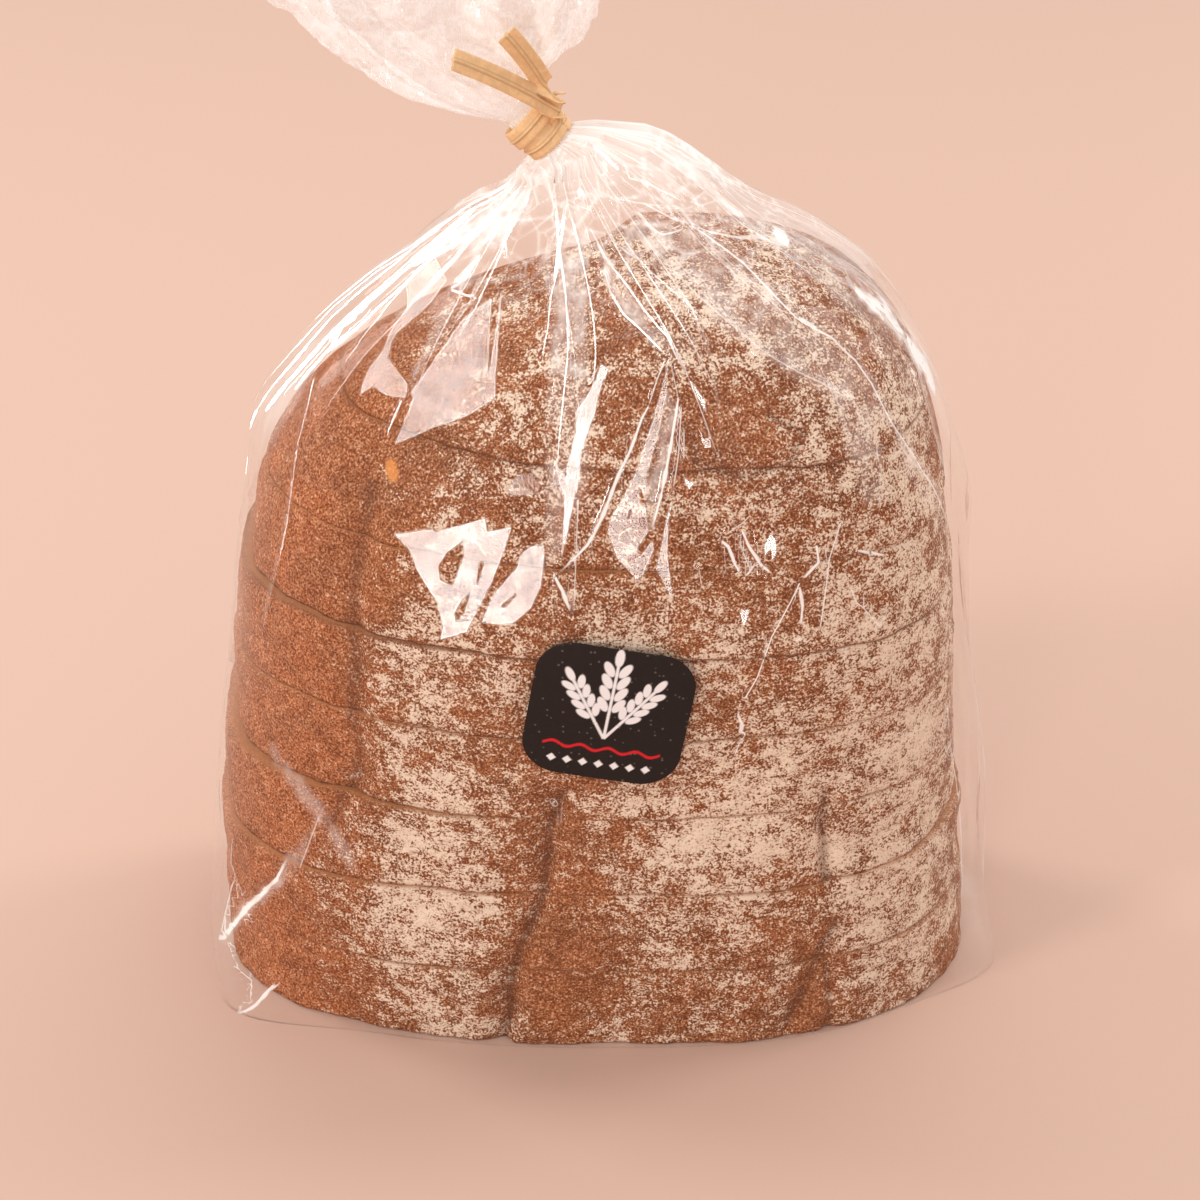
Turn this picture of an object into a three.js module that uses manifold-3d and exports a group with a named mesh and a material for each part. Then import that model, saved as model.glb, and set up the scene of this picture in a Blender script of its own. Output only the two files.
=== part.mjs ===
// A sliced half loaf standing on its cut face in a clear bag: the bag's outer form with its gathered neck and ruffle,
// the paper tie round the neck, and a square label on the front. Millimetres, +Z up. The origin is on the table,
// under the middle of the loaf, and the label faces -Y.
import * as THREE from "three";
import { mergeVertices } from "three/addons/utils/BufferGeometryUtils.js";
import Module from "manifold-3d";

const wasm = await Module();
wasm.setup();

// Driving dimensions of the loaf
const SLICE_THICKNESS = 19;
const SLICE_COUNT = 8;
const LOAF_LEFT = 79.5;
const LOAF_RIGHT = 78.5;
const TAPER_LEFT = 0.08;
const TAPER_RIGHT = 0.05;
const FRONT_DEPTH = 46;
const FRONT_BULGE = 3;
const BACK_DEPTH = 38;
const CREST_X = 4;

// Driving dimensions of the bag
const FILM_CLEARANCE = 1.4;
const DOME_TOP = 183;
const DOME_POWER = 8;
const DOME_LEFT = 1.95;
const DOME_RIGHT = 1.15;
const NECK_SHARE = 0.1;
const DOME_LAST_ROW = 176;
const SLICE_STEP = 0.8;
const GUSSET_RIGHT = 5.5;
const GUSSET_LEFT = 2.2;
const CORNERS = [
  { turn: -66, reach: 10.5 },
  { turn: 72, reach: 5 },
  { turn: 124, reach: 6 },
  { turn: -124, reach: 6 },
];
const CORNER_HEIGHT = 16;
const BASE_ROUNDING = 1.4;
const PLEAT_COUNT = 13;
const PLEAT_DEPTH = 0.13;
const RUFFLE_LOBES = 11;
const RUFFLE_DEPTH = 0.17;
const COLUMNS = 72;

// The neck and the ruffle: centre, tilt to the left in degrees, half width and half depth at each station
const STATIONS = [
  { x: -5.2, y: 2.5, z: 178.2, tilt: 24, wide: 9.5, deep: 8.5 },
  { x: -7.1, y: 3.0, z: 179.6, tilt: 36, wide: 5.4, deep: 5.2 },
  { x: -8.0, y: 3.0, z: 180.4, tilt: 42, wide: 4.0, deep: 4.0 },
  { x: -14.0, y: 3.0, z: 187.1, tilt: 42, wide: 4.0, deep: 4.0 },
  { x: -15.3, y: 3.2, z: 188.7, tilt: 37, wide: 5.6, deep: 5.0 },
  { x: -17.6, y: 4.0, z: 191.3, tilt: 26, wide: 10.5, deep: 7.5 },
  { x: -20.2, y: 4.6, z: 196.0, tilt: 17, wide: 17.5, deep: 10 },
  { x: -23.6, y: 5.2, z: 202.0, tilt: 12, wide: 23.5, deep: 12.5 },
  { x: -27.0, y: 6.0, z: 211.0, tilt: 9, wide: 29, deep: 15.5 },
  { x: -30.0, y: 7.0, z: 222.0, tilt: 7, wide: 34.5, deep: 18.5 },
  { x: -33.0, y: 8.0, z: 234.0, tilt: 6, wide: 39, deep: 21 },
];
const TIE_FIRST_STATION = 2;
const TIE_LAST_STATION = 3;

// Driving dimensions of the tie
const TIE_WIDTH = 4.0;
const TIE_PAPER = 0.5;
const TIE_RIDGE = 0.35;
const TIE_RIDGE_HALF = 0.45;
const TIE_GAP = 0.45;
const TIE_TURNS = 2;
const TIE_STEPS_PER_TURN = 24;
const LONG_END = 28;
const SHORT_END = 21;

// Driving dimensions of the label
const LABEL_SIDE = 31;
const LABEL_CORNER = 7.5;
const LABEL_THICKNESS = 0.4;
const LABEL_GAP = 0.35;
const LABEL_X = 2.6;
const LABEL_Z = 84;
const LABEL_TURN = 9.5;

const DEGREE = Math.PI / 180;
const clamp = THREE.MathUtils.clamp;
const lerp = THREE.MathUtils.lerp;
const smoothstep = THREE.MathUtils.smoothstep;

// A bump of height 1 at `middle` that fades over `reach` either side.
function bump(value, middle, reach) {
  return Math.exp(-(((value - middle) / reach) ** 2));
}

// How far each slice has slipped from its neighbours, as a share of SLICE_STEP
function sliceSlip(slice) {
  return {
    side: Math.sin(slice * 2.4 + 0.6),
    front: Math.cos(slice * 1.9 + 0.4),
  };
}

// The share of its full size that the dome keeps at height z, from the left (0) to the right (1) of the loaf
function domeShare(z, rightness) {
  const share = Math.pow(1 - Math.pow(clamp(z / DOME_TOP, 0, 1), DOME_POWER), lerp(DOME_LEFT, DOME_RIGHT, rightness));
  return Math.hypot(share, NECK_SHARE * smoothstep(z, 160, DOME_LAST_ROW));
}

// The bag's half axes and outline exponents at height z, for the side that `angle` looks to.
// Angle 0 is the front crest, and it turns towards +X.
function bagAxes(angle, z) {
  const rightness = (1 + Math.sin(angle)) / 2;
  const share = domeShare(z, rightness);
  const toRight = Math.sin(angle) > 0;
  const full = toRight ? LOAF_RIGHT - TAPER_RIGHT * z : LOAF_LEFT - TAPER_LEFT * z;
  const crest = toRight ? -CREST_X : CREST_X;
  const front = FRONT_DEPTH + FRONT_BULGE * smoothstep(z, 55, 105);
  const toFront = Math.cos(angle) > 0;
  const rise = smoothstep(z, 20, 100);
  const frontPower = toRight ? lerp(2.5, 2.9, rise) : lerp(2.5, 2.05, rise);
  return {
    side: (full + FILM_CLEARANCE + crest) * share,
    depth: ((toFront ? front : BACK_DEPTH) + FILM_CLEARANCE) * share,
    power: toFront ? frontPower : 3.4,
    centre: CREST_X * share,
  };
}

// Extra reach of the film past the bread: the gusset edges at the sides and the four pulled-out bottom corners
function looseFilm(angle, z) {
  const turn = angle / DEGREE;
  const low = 1 - smoothstep(z, 30, 90);
  const sides = GUSSET_RIGHT * bump(turn, 96, 20) * low + GUSSET_LEFT * bump(turn, -96, 22) * low;
  const corners = CORNERS.reduce((sum, corner) => sum + corner.reach * bump(turn, corner.turn, 9), 0);
  const foot = Math.pow(clamp(1 - z / CORNER_HEIGHT, 0, 1), 1.5);
  const shoulder = 2.4 * bump(turn, -92, 16) * bump(z, 124, 9) + 1.6 * bump(turn, 84, 14) * bump(z, 112, 9);
  return sides + corners * foot + shoulder;
}

// A point of the bag's outer skin at height z, over the loaf
function bagPoint(angle, z) {
  const { side, depth, power, centre } = bagAxes(angle, z);
  const s = Math.sin(angle);
  const c = Math.cos(angle);
  const radius = Math.pow(Math.pow(Math.abs(s) / side, power) + Math.pow(Math.abs(c) / depth, power), -1 / power);
  const slice = Math.min(Math.floor(z / SLICE_THICKNESS), SLICE_COUNT);
  const slip = sliceSlip(slice);
  const tight = (1 - smoothstep(z, 140, 160)) * smoothstep(z, 2, 6);
  const flat = 1 - 0.9 * bump(s * radius + centre, LABEL_X, 22) * bump(z, LABEL_Z, 24) * (c > 0 ? 1 : 0);
  const step = SLICE_STEP * tight * flat * (slip.side * s * Math.abs(s) - slip.front * c * Math.abs(c));
  const pleat = PLEAT_DEPTH * smoothstep(z, 150, 178) * Math.cos(PLEAT_COUNT * angle + 1.3 * Math.sin(2 * angle));
  const reach = (radius + step + looseFilm(angle, z)) * (1 + pleat);
  const lean = smoothstep(z, 150, 180);
  const tilt = 20 * DEGREE * smoothstep(z, 166, 179);
  const across = reach * s;
  return new THREE.Vector3(
    centre + lean * (STATIONS[0].x - CREST_X * 0.3) + across * Math.cos(tilt),
    lean * STATIONS[0].y - reach * c,
    z + across * Math.sin(tilt),
  );
}

// The y of the bag's front at a given x and z, where the label lies
function filmFront(x, z) {
  let low = -Math.PI / 3;
  let high = Math.PI / 3;
  for (let i = 0; i < 30; i++) {
    const middle = (low + high) / 2;
    if (bagPoint(middle, z).x < x) low = middle;
    else high = middle;
  }
  return bagPoint(low, z).y;
}

// The directions across a ring that is tilted to the left by `tilt` degrees
function ringAxes(tilt) {
  return {
    right: new THREE.Vector3(Math.cos(tilt * DEGREE), 0, Math.sin(tilt * DEGREE)),
    along: new THREE.Vector3(-Math.sin(tilt * DEGREE), 0, Math.cos(tilt * DEGREE)),
  };
}

// A station at `place`, which may lie between two of STATIONS
function stationAt(place) {
  const low = Math.min(Math.floor(place), STATIONS.length - 2);
  const share = place - low;
  const mix = (key) => lerp(STATIONS[low][key], STATIONS[low + 1][key], share);
  return { x: mix("x"), y: mix("y"), z: mix("z"), tilt: mix("tilt"), wide: mix("wide"), deep: mix("deep") };
}

// A point of the gathered film at a station: pleats that open into the lobes of the ruffle
function gatheredPoint(angle, place) {
  const { x, y, z, tilt, wide, deep } = stationAt(place);
  const open = smoothstep(wide, 6, 30);
  const lobes = Math.cos(RUFFLE_LOBES * angle + 1.7 * Math.sin(angle) + 2.6 * open);
  const uneven = Math.sin(3 * angle + 0.8);
  const folds = 1 + open * RUFFLE_DEPTH * lobes * (1 + 0.35 * uneven);
  const { right } = ringAxes(tilt);
  const edge = smoothstep(place, STATIONS.length - 2.6, STATIONS.length - 1);
  const lift = edge * 3.5 * Math.sin(5 * angle + 0.4);
  return new THREE.Vector3(x, y, z + lift)
    .addScaledVector(right, wide * folds * Math.sin(angle))
    .add(new THREE.Vector3(0, -deep * folds * Math.cos(angle), 0));
}

// Angles that space the columns evenly round the bag at half height
function evenAngles(count) {
  const fine = 1440;
  const lengths = [0];
  for (let i = 1; i <= fine; i++) {
    const a = bagPoint(-Math.PI + ((i - 1) / fine) * 2 * Math.PI, 60);
    const b = bagPoint(-Math.PI + (i / fine) * 2 * Math.PI, 60);
    lengths.push(lengths[i - 1] + a.distanceTo(b));
  }
  const angles = [];
  let i = 0;
  for (let n = 0; n < count; n++) {
    const wanted = (n / count) * lengths[fine];
    while (lengths[i + 1] < wanted) i++;
    const share = (wanted - lengths[i]) / (lengths[i + 1] - lengths[i]);
    angles.push(-Math.PI + ((i + share) / fine) * 2 * Math.PI);
  }
  return angles;
}

// The closed skin over rows of points, all of one length, from the pole `first` to the pole `last`
function skin(first, rows, last) {
  const count = rows[0].length;
  const points = [first, ...rows.flat(), last];
  const index = [];
  const at = (row, column) => 1 + row * count + (column % count);
  for (let column = 0; column < count; column++) {
    index.push(0, at(0, column + 1), at(0, column));
    index.push(points.length - 1, at(rows.length - 1, column), at(rows.length - 1, column + 1));
    for (let row = 0; row < rows.length - 1; row++) {
      index.push(at(row, column), at(row, column + 1), at(row + 1, column + 1));
      index.push(at(row, column), at(row + 1, column + 1), at(row + 1, column));
    }
  }
  const geometry = new THREE.BufferGeometry().setFromPoints(points);
  geometry.setIndex(index);
  geometry.computeVertexNormals();
  return geometry;
}

// The heights of the rows over the loaf: three to a slice, so that each slice's step shows, then the dome
function bodyHeights() {
  const heights = [BASE_ROUNDING];
  for (let slice = 0; slice < SLICE_COUNT; slice++) {
    const foot = slice * SLICE_THICKNESS;
    if (slice > 0) heights.push(foot + 0.8);
    else heights.push(foot + 5);
    heights.push(foot + SLICE_THICKNESS * 0.5, foot + SLICE_THICKNESS - 0.8);
  }
  for (let z = 156; z <= DOME_LAST_ROW; z += 4) heights.push(z);
  return heights;
}

// The whole bag: a flat base, the walls over the loaf, the neck and the ruffle
function bagGeometry() {
  const angles = evenAngles(COLUMNS);
  const base = angles.map((angle) => {
    const point = bagPoint(angle, 0);
    const inset = 1 - BASE_ROUNDING / Math.hypot(point.x, point.y);
    return new THREE.Vector3(point.x * inset, point.y * inset, 0);
  });
  const body = bodyHeights().map((z) => angles.map((angle) => bagPoint(angle, z)));
  const places = [0, 1, 2, 2.5, 3, 4, 4.5, 5, 5.5, 6, 6.5, 7, 7.5, 8, 8.5, 9, 9.5, 10];
  const gathered = places.map((place) => angles.map((angle) => gatheredPoint(angle, place)));
  const mouth = stationAt(STATIONS.length - 1);
  const { along } = ringAxes(mouth.tilt);
  const last = new THREE.Vector3(mouth.x, mouth.y, mouth.z).addScaledVector(along, -6);
  return skin(new THREE.Vector3(0, 0, 0), [base, ...body, ...gathered], last);
}

// A flat strap with the wire's ridge on both faces, along points that each have a face normal
function strapGeometry(stations) {
  const half = TIE_WIDTH / 2;
  const face = TIE_PAPER / 2;
  const section = [
    [-half, -face],
    [-TIE_RIDGE_HALF, -face],
    [0, -face - TIE_RIDGE],
    [TIE_RIDGE_HALF, -face],
    [half, -face],
    [half, face],
    [TIE_RIDGE_HALF, face],
    [0, face + TIE_RIDGE],
    [-TIE_RIDGE_HALF, face],
    [-half, face],
  ];
  const rows = stations.map(({ point, normal }, i) => {
    const before = stations[Math.max(i - 1, 0)].point;
    const after = stations[Math.min(i + 1, stations.length - 1)].point;
    const tangent = after.clone().sub(before).normalize();
    const across = new THREE.Vector3().crossVectors(normal, tangent).normalize();
    const out = new THREE.Vector3().crossVectors(tangent, across);
    return section.map(([a, b]) => point.clone().addScaledVector(across, a).addScaledVector(out, b));
  });
  return skin(stations[0].point, rows, stations[stations.length - 1].point);
}

// A closed geometry as a solid for joining
function solidOf(geometry) {
  const bare = geometry.clone();
  bare.deleteAttribute("normal");
  bare.deleteAttribute("uv");
  const merged = mergeVertices(bare, 1e-4);
  return new wasm.Manifold(
    new wasm.Mesh({
      numProp: 3,
      vertProperties: merged.attributes.position.array,
      triVerts: new Uint32Array(merged.index.array),
    }),
  );
}

// A joined solid as a geometry
function geometryOf(solid) {
  const mesh = solid.getMesh();
  const geometry = new THREE.BufferGeometry();
  geometry.setAttribute("position", new THREE.BufferAttribute(new Float32Array(mesh.vertProperties), 3));
  geometry.setIndex(new THREE.BufferAttribute(new Uint32Array(mesh.triVerts), 1));
  geometry.computeVertexNormals();
  return geometry;
}

// The point and outward direction at `angle` round the neck, `along` millimetres up from the tie's first station
function roundNeck(angle, along, radius) {
  const foot = STATIONS[TIE_FIRST_STATION];
  const axes = ringAxes(foot.tilt);
  const normal = axes.right.clone().multiplyScalar(Math.sin(angle)).add(new THREE.Vector3(0, -Math.cos(angle), 0));
  const point = new THREE.Vector3(foot.x, foot.y, foot.z)
    .addScaledVector(axes.along, along)
    .addScaledVector(normal, radius);
  return { point, normal };
}

// The turns of the tie round the neck, from the twist down and round to the twist again
function wrapStations(twistAngle) {
  const neck = STATIONS[TIE_FIRST_STATION].wide;
  const radius = neck + TIE_GAP + TIE_PAPER / 2 + TIE_RIDGE;
  const steps = TIE_TURNS * TIE_STEPS_PER_TURN;
  const stations = [];
  for (let i = 0; i <= steps; i++) {
    const share = i / steps;
    const along = lerp(6.7, 2.2, smoothstep(share, 0.05, 0.62));
    const outer = share < 0.5 ? 0.75 * (1 - smoothstep(share, 0.3, 0.5)) : 0;
    stations.push(roundNeck(twistAngle - share * TIE_TURNS * 2 * Math.PI, along, radius + outer));
  }
  return stations;
}

// One free end of the tie, from the twist to its tip, with its face turned to `facing`
function endStations(start, way, length, facing, droop) {
  const direction = way.clone().normalize();
  const stations = [];
  const steps = 8;
  for (let i = 0; i <= steps; i++) {
    const share = i / steps;
    const point = start.clone().addScaledVector(direction, share * length);
    point.z += droop * share * (1 - share);
    stations.push({ point, normal: facing });
  }
  return stations;
}

// The tie: its turns, the knot where its two sides are twisted together, and both free ends
function tieGeometry() {
  const twistAngle = 62 * DEGREE;
  const wraps = wrapStations(twistAngle);
  const twist = roundNeck(twistAngle, 6.2, 6.7);
  const knot = new THREE.SphereGeometry(1.9, 12, 8);
  knot.scale(1.1, 0.9, 1.5);
  knot.translate(twist.point.x, twist.point.y, twist.point.z);
  const longEnd = endStations(
    twist.point.clone().add(new THREE.Vector3(1.2, -2.2, 0.6)),
    new THREE.Vector3(-20, -16, 15.7),
    LONG_END,
    new THREE.Vector3(-0.2, -0.8, 0.55),
    1.2,
  );
  const shortEnd = endStations(
    twist.point.clone().add(new THREE.Vector3(0.6, -1.6, 1)),
    new THREE.Vector3(-8, -13.5, 17),
    SHORT_END,
    new THREE.Vector3(-0.5, -0.75, 0.4),
    0.8,
  );
  const joined = [strapGeometry(wraps), knot, strapGeometry(longEnd), strapGeometry(shortEnd)]
    .map(solidOf)
    .reduce((sum, solid) => sum.add(solid));
  return geometryOf(joined);
}

// The label's outline, as points of a rounded square shrunk to `share`
function labelOutline(share) {
  const half = LABEL_SIDE / 2;
  const inner = half - LABEL_CORNER;
  const outline = [];
  const perCorner = 6;
  for (let corner = 0; corner < 4; corner++) {
    const middle = new THREE.Vector2(inner, inner).rotateAround(new THREE.Vector2(), (corner * Math.PI) / 2);
    for (let i = 0; i <= perCorner; i++) {
      const angle = (corner + i / perCorner) * (Math.PI / 2);
      outline.push(
        new THREE.Vector2(
          middle.x + LABEL_CORNER * Math.cos(angle),
          middle.y + LABEL_CORNER * Math.sin(angle),
        ).multiplyScalar(share),
      );
    }
  }
  return outline;
}

// The label, bent to the film that it is stuck on
function labelGeometry() {
  const lay = (point, off) => {
    const turned = point.clone().rotateAround(new THREE.Vector2(), -LABEL_TURN * DEGREE);
    const x = LABEL_X + turned.x;
    const z = LABEL_Z + turned.y;
    return new THREE.Vector3(x, filmFront(x, z) - off, z);
  };
  const shares = [0.2, 0.4, 0.6, 0.8, 1];
  const ring = (share, off) => labelOutline(share).map((point) => lay(point, off));
  const back = shares.map((share) => ring(share, LABEL_GAP));
  const front = shares.reverse().map((share) => ring(share, LABEL_GAP + LABEL_THICKNESS));
  const middle = new THREE.Vector2();
  return skin(lay(middle, LABEL_GAP), [...back, ...front], lay(middle, LABEL_GAP + LABEL_THICKNESS));
}

const breadInFilm = new THREE.MeshStandardMaterial({ color: 0xb07a55, roughness: 0.45, metalness: 0 });
const kraftPaper = new THREE.MeshStandardMaterial({ color: 0xd9a66c, roughness: 0.75, metalness: 0 });
const blackPaper = new THREE.MeshStandardMaterial({ color: 0x1f1a19, roughness: 0.5, metalness: 0 });

function named(name, geometry, material) {
  const mesh = new THREE.Mesh(geometry, material);
  mesh.name = name;
  return mesh;
}

const loafInBag = new THREE.Group();
loafInBag.add(named("bag", bagGeometry(), breadInFilm));
loafInBag.add(named("twist_tie", tieGeometry(), kraftPaper));
loafInBag.add(named("label", labelGeometry(), blackPaper));

export default loafInBag;
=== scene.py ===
"""A sliced half loaf of floured bread in a clear bag, with a paper tie and a square label."""

import logging
import math
from dataclasses import dataclass
from enum import Enum

import bmesh
import bpy
import numpy as np
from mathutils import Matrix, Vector, noise


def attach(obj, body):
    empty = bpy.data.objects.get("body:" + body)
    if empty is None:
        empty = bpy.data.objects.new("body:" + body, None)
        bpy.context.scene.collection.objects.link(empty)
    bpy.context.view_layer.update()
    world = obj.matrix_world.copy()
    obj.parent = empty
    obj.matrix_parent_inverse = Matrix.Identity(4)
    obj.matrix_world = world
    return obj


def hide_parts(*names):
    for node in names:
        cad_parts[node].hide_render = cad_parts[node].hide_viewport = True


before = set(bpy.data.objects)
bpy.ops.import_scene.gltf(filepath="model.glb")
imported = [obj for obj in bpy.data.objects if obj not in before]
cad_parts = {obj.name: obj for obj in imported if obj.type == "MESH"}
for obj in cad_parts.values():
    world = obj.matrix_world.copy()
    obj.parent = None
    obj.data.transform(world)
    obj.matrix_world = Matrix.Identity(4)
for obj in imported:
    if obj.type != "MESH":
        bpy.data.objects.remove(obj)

Colour = tuple[float, float, float, float]
Path = tuple[tuple[float, float], ...]
Ramp = tuple[float, ...]
Marks = dict[str, np.ndarray]
Socket = bpy.types.NodeSocket

# Sizes are in millimetres, and MM turns them into metres where a mesh is made.
MM = 0.001
MERGE = 2e-6
SLIVER = 1e-7
TINY = 1e-9
# A signed distance that is out of reach of every mark.
FAR = 3.0
# Half the width of a thin line in the film, and how high the film stands along a wide painted highlight.
FINE = 0.12
BRIGHT_HEIGHT = 0.2
# The height of the upper cut of a piece that has none.
NO_CUT = 1e3
LOG = logging.getLogger("loaf_in_bag")


class Form(Enum):
    """How a lattice is closed: an open sheet, a cup with its seam and pole joined, or a closed solid."""

    SHEET = 1
    CUP = 2
    SOLID = 3


class Slot(Enum):
    """The material slots of the model."""

    BAG = "bag"
    TIE = "twist_tie"
    LABEL = "label"


def smooth(value: np.ndarray, low: float, high: float) -> np.ndarray:
    """Ramp from 0 to 1 with soft ends.

    Args:
        value: The numbers to ramp.
        low: Where the ramp starts.
        high: Where the ramp ends.

    Returns:
        The ramp's height at each number.
    """
    t = np.clip((value - low) / (high - low), 0.0, 1.0)
    return t * t * (3.0 - 2.0 * t)


def bump(value: np.ndarray, middle: float, reach: float) -> np.ndarray:
    """Height 1 at `middle`, fading over `reach` either side."""
    return np.exp(-(((value - middle) / reach) ** 2))


def mix(a: np.ndarray, b: np.ndarray, share: np.ndarray) -> np.ndarray:
    """The value `share` of the way from a to b."""
    return a + (b - a) * share


def fractal(points: np.ndarray, size: float, octaves: int = 3, seed: float = 0.0) -> np.ndarray:
    """Soft noise over points.

    Args:
        points: Points in millimetres, last axis x, y, z.
        size: The width of the largest lumps in millimetres.
        octaves: How many finer layers are added.
        seed: Moves the pattern.

    Returns:
        Noise of about -1 to 1 at each point.
    """
    flat = points.reshape(-1, 3) / size + seed
    values = [noise.fractal(Vector(p), 0.9, 2.1, octaves) for p in flat.tolist()]
    return np.array(values).reshape(points.shape[:-1])


def crumple(points: np.ndarray, size: float, seed: float = 0.0) -> np.ndarray:
    """Sharp-edged noise, as in creased film: flat planes that meet in ridges.

    Args:
        points: Points in millimetres, last axis x, y, z.
        size: The width of the planes in millimetres.
        seed: Moves the pattern.

    Returns:
        Heights of about 0 to 1.
    """
    flat = points.reshape(-1, 3) / size + seed
    near = [noise.voronoi(Vector(p), distance_metric="DISTANCE")[0] for p in flat.tolist()]
    gaps = np.array([d[1] - d[0] for d in near])
    return np.clip(gaps, 0.0, 1.0).reshape(points.shape[:-1])


@dataclass(frozen=True)
class Layer:
    """Soft noise of one size: the width of its lumps, its octaves, its seed and its strength."""

    size: float
    octaves: int
    seed: float
    strength: float = 1.0

    def over(self, points: np.ndarray, shift: float = 0.0) -> np.ndarray:
        """The layer's values at points, with its seed moved by `shift`."""
        return self.strength * fractal(points, self.size, self.octaves, self.seed + shift)


def path_distance(
    x: np.ndarray, z: np.ndarray, path: Path
) -> tuple[np.ndarray, np.ndarray, np.ndarray]:
    """Distance from points to a broken line on the front.

    Args:
        x: Places across, in millimetres.
        z: Heights, in millimetres.
        path: The line's corners as (x, z).

    Returns:
        The distance, how far along the line the nearest point is from 0 to 1, and the side as 1 or -1.
    """
    best = np.full(x.shape, np.inf)
    along, side = np.zeros(x.shape), np.ones(x.shape)
    lengths = [math.dist(a, b) for a, b in zip(path, path[1:])]
    total = sum(lengths)
    done = 0.0
    for (ax, az), (bx, bz), length in zip(path, path[1:], lengths):
        t = np.clip(((x - ax) * (bx - ax) + (z - az) * (bz - az)) / length**2, 0.0, 1.0)
        d = np.hypot(x - ax - t * (bx - ax), z - az - t * (bz - az))
        nearer = d < best
        best = np.where(nearer, d, best)
        along = np.where(nearer, (done + t * length) / total, along)
        turned = (bx - ax) * (z - az) - (bz - az) * (x - ax)
        side = np.where(nearer, np.where(turned < 0, -1.0, 1.0), side)
        done += length
    return best, along, side


def outline_distance(x: np.ndarray, z: np.ndarray, outline: Path) -> np.ndarray:
    """Signed distance to a closed outline on the front, positive inside.

    Args:
        x: Places across, in millimetres.
        z: Heights, in millimetres.
        outline: The outline's corners as (x, z).

    Returns:
        The distance in millimetres.
    """
    loop = outline + outline[:1]
    edge, _, _ = path_distance(x, z, loop)
    inside = np.zeros(x.shape, bool)
    for (ax, az), (bx, bz) in zip(loop, loop[1:]):
        crosses = (az > z) != (bz > z)
        reach = (bx - ax) * (z - az) / (bz - az if bz != az else TINY) + ax
        inside ^= crosses & (x < reach)
    return np.where(inside, edge, -edge)


def lattice_normals(lattice: np.ndarray) -> np.ndarray:
    """Unit normals of a lattice of points, rows first.

    Args:
        lattice: Points by row and column.

    Returns:
        Normals of the same shape.
    """
    across = np.gradient(lattice, axis=1)
    up = np.gradient(lattice, axis=0)
    normals = np.cross(across, up)
    return normals / np.maximum(np.linalg.norm(normals, axis=-1, keepdims=True), TINY)


def piece_from_lattice(
    name: str, lattice: np.ndarray, marks: Marks, form: Form, wall: float = 0.0
) -> bpy.types.Object:
    """Lay a grid over a lattice of points and make it an object.

    Args:
        name: The piece's name.
        lattice: Points in millimetres, by row and column.
        marks: Numbers to keep on the vertices, each by row and column.
        form: How the lattice is closed.
        wall: Thickness to give an open sheet, in millimetres.

    Returns:
        The new object, at the origin.
    """
    rows, columns = lattice.shape[0] - 1, lattice.shape[1] - 1
    shape = bmesh.new()
    bmesh.ops.create_grid(shape, x_segments=columns, y_segments=rows, size=0.5)
    flat = np.array([vert.co[:] for vert in shape.verts])
    column = np.rint((flat[:, 0] + 0.5) * columns).astype(int)
    row = np.rint((flat[:, 1] + 0.5) * rows).astype(int)
    places = (lattice[row, column] * MM).tolist()
    kinds = shape.verts.layers
    layers = {
        key: (kinds.float_vector if values.ndim == lattice.ndim else kinds.float).new(key)
        for key, values in marks.items()
    }
    picked = {key: values[row, column].tolist() for key, values in marks.items()}
    for i, vert in enumerate(shape.verts):
        vert.co = places[i]
        for key, layer in layers.items():
            vert[layer] = picked[key][i]
    shape.normal_update()
    if form is not Form.SHEET:
        bmesh.ops.remove_doubles(shape, verts=shape.verts, dist=MERGE)
        bmesh.ops.dissolve_degenerate(shape, edges=shape.edges, dist=SLIVER)
    if form is Form.SOLID:
        bmesh.ops.recalc_face_normals(shape, faces=shape.faces)
    if wall:
        bmesh.ops.solidify(shape, geom=shape.faces[:], thickness=wall * MM)
    for face in shape.faces:
        face.smooth = True
    mesh = bpy.data.meshes.new(name)
    shape.to_mesh(mesh)
    shape.free()
    piece = bpy.data.objects.new(name, mesh)
    bpy.context.scene.collection.objects.link(piece)
    return piece


def declare(piece: bpy.types.Object, node: str) -> None:
    """Tell the frame what a piece rides on and which node it replaces.

    Args:
        piece: The finished piece.
        node: The CAD node that it stands in for.
    """
    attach(piece, "root")
    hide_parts(node)
    LOG.info("%s: %d faces", piece.name, len(piece.data.polygons))


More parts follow.
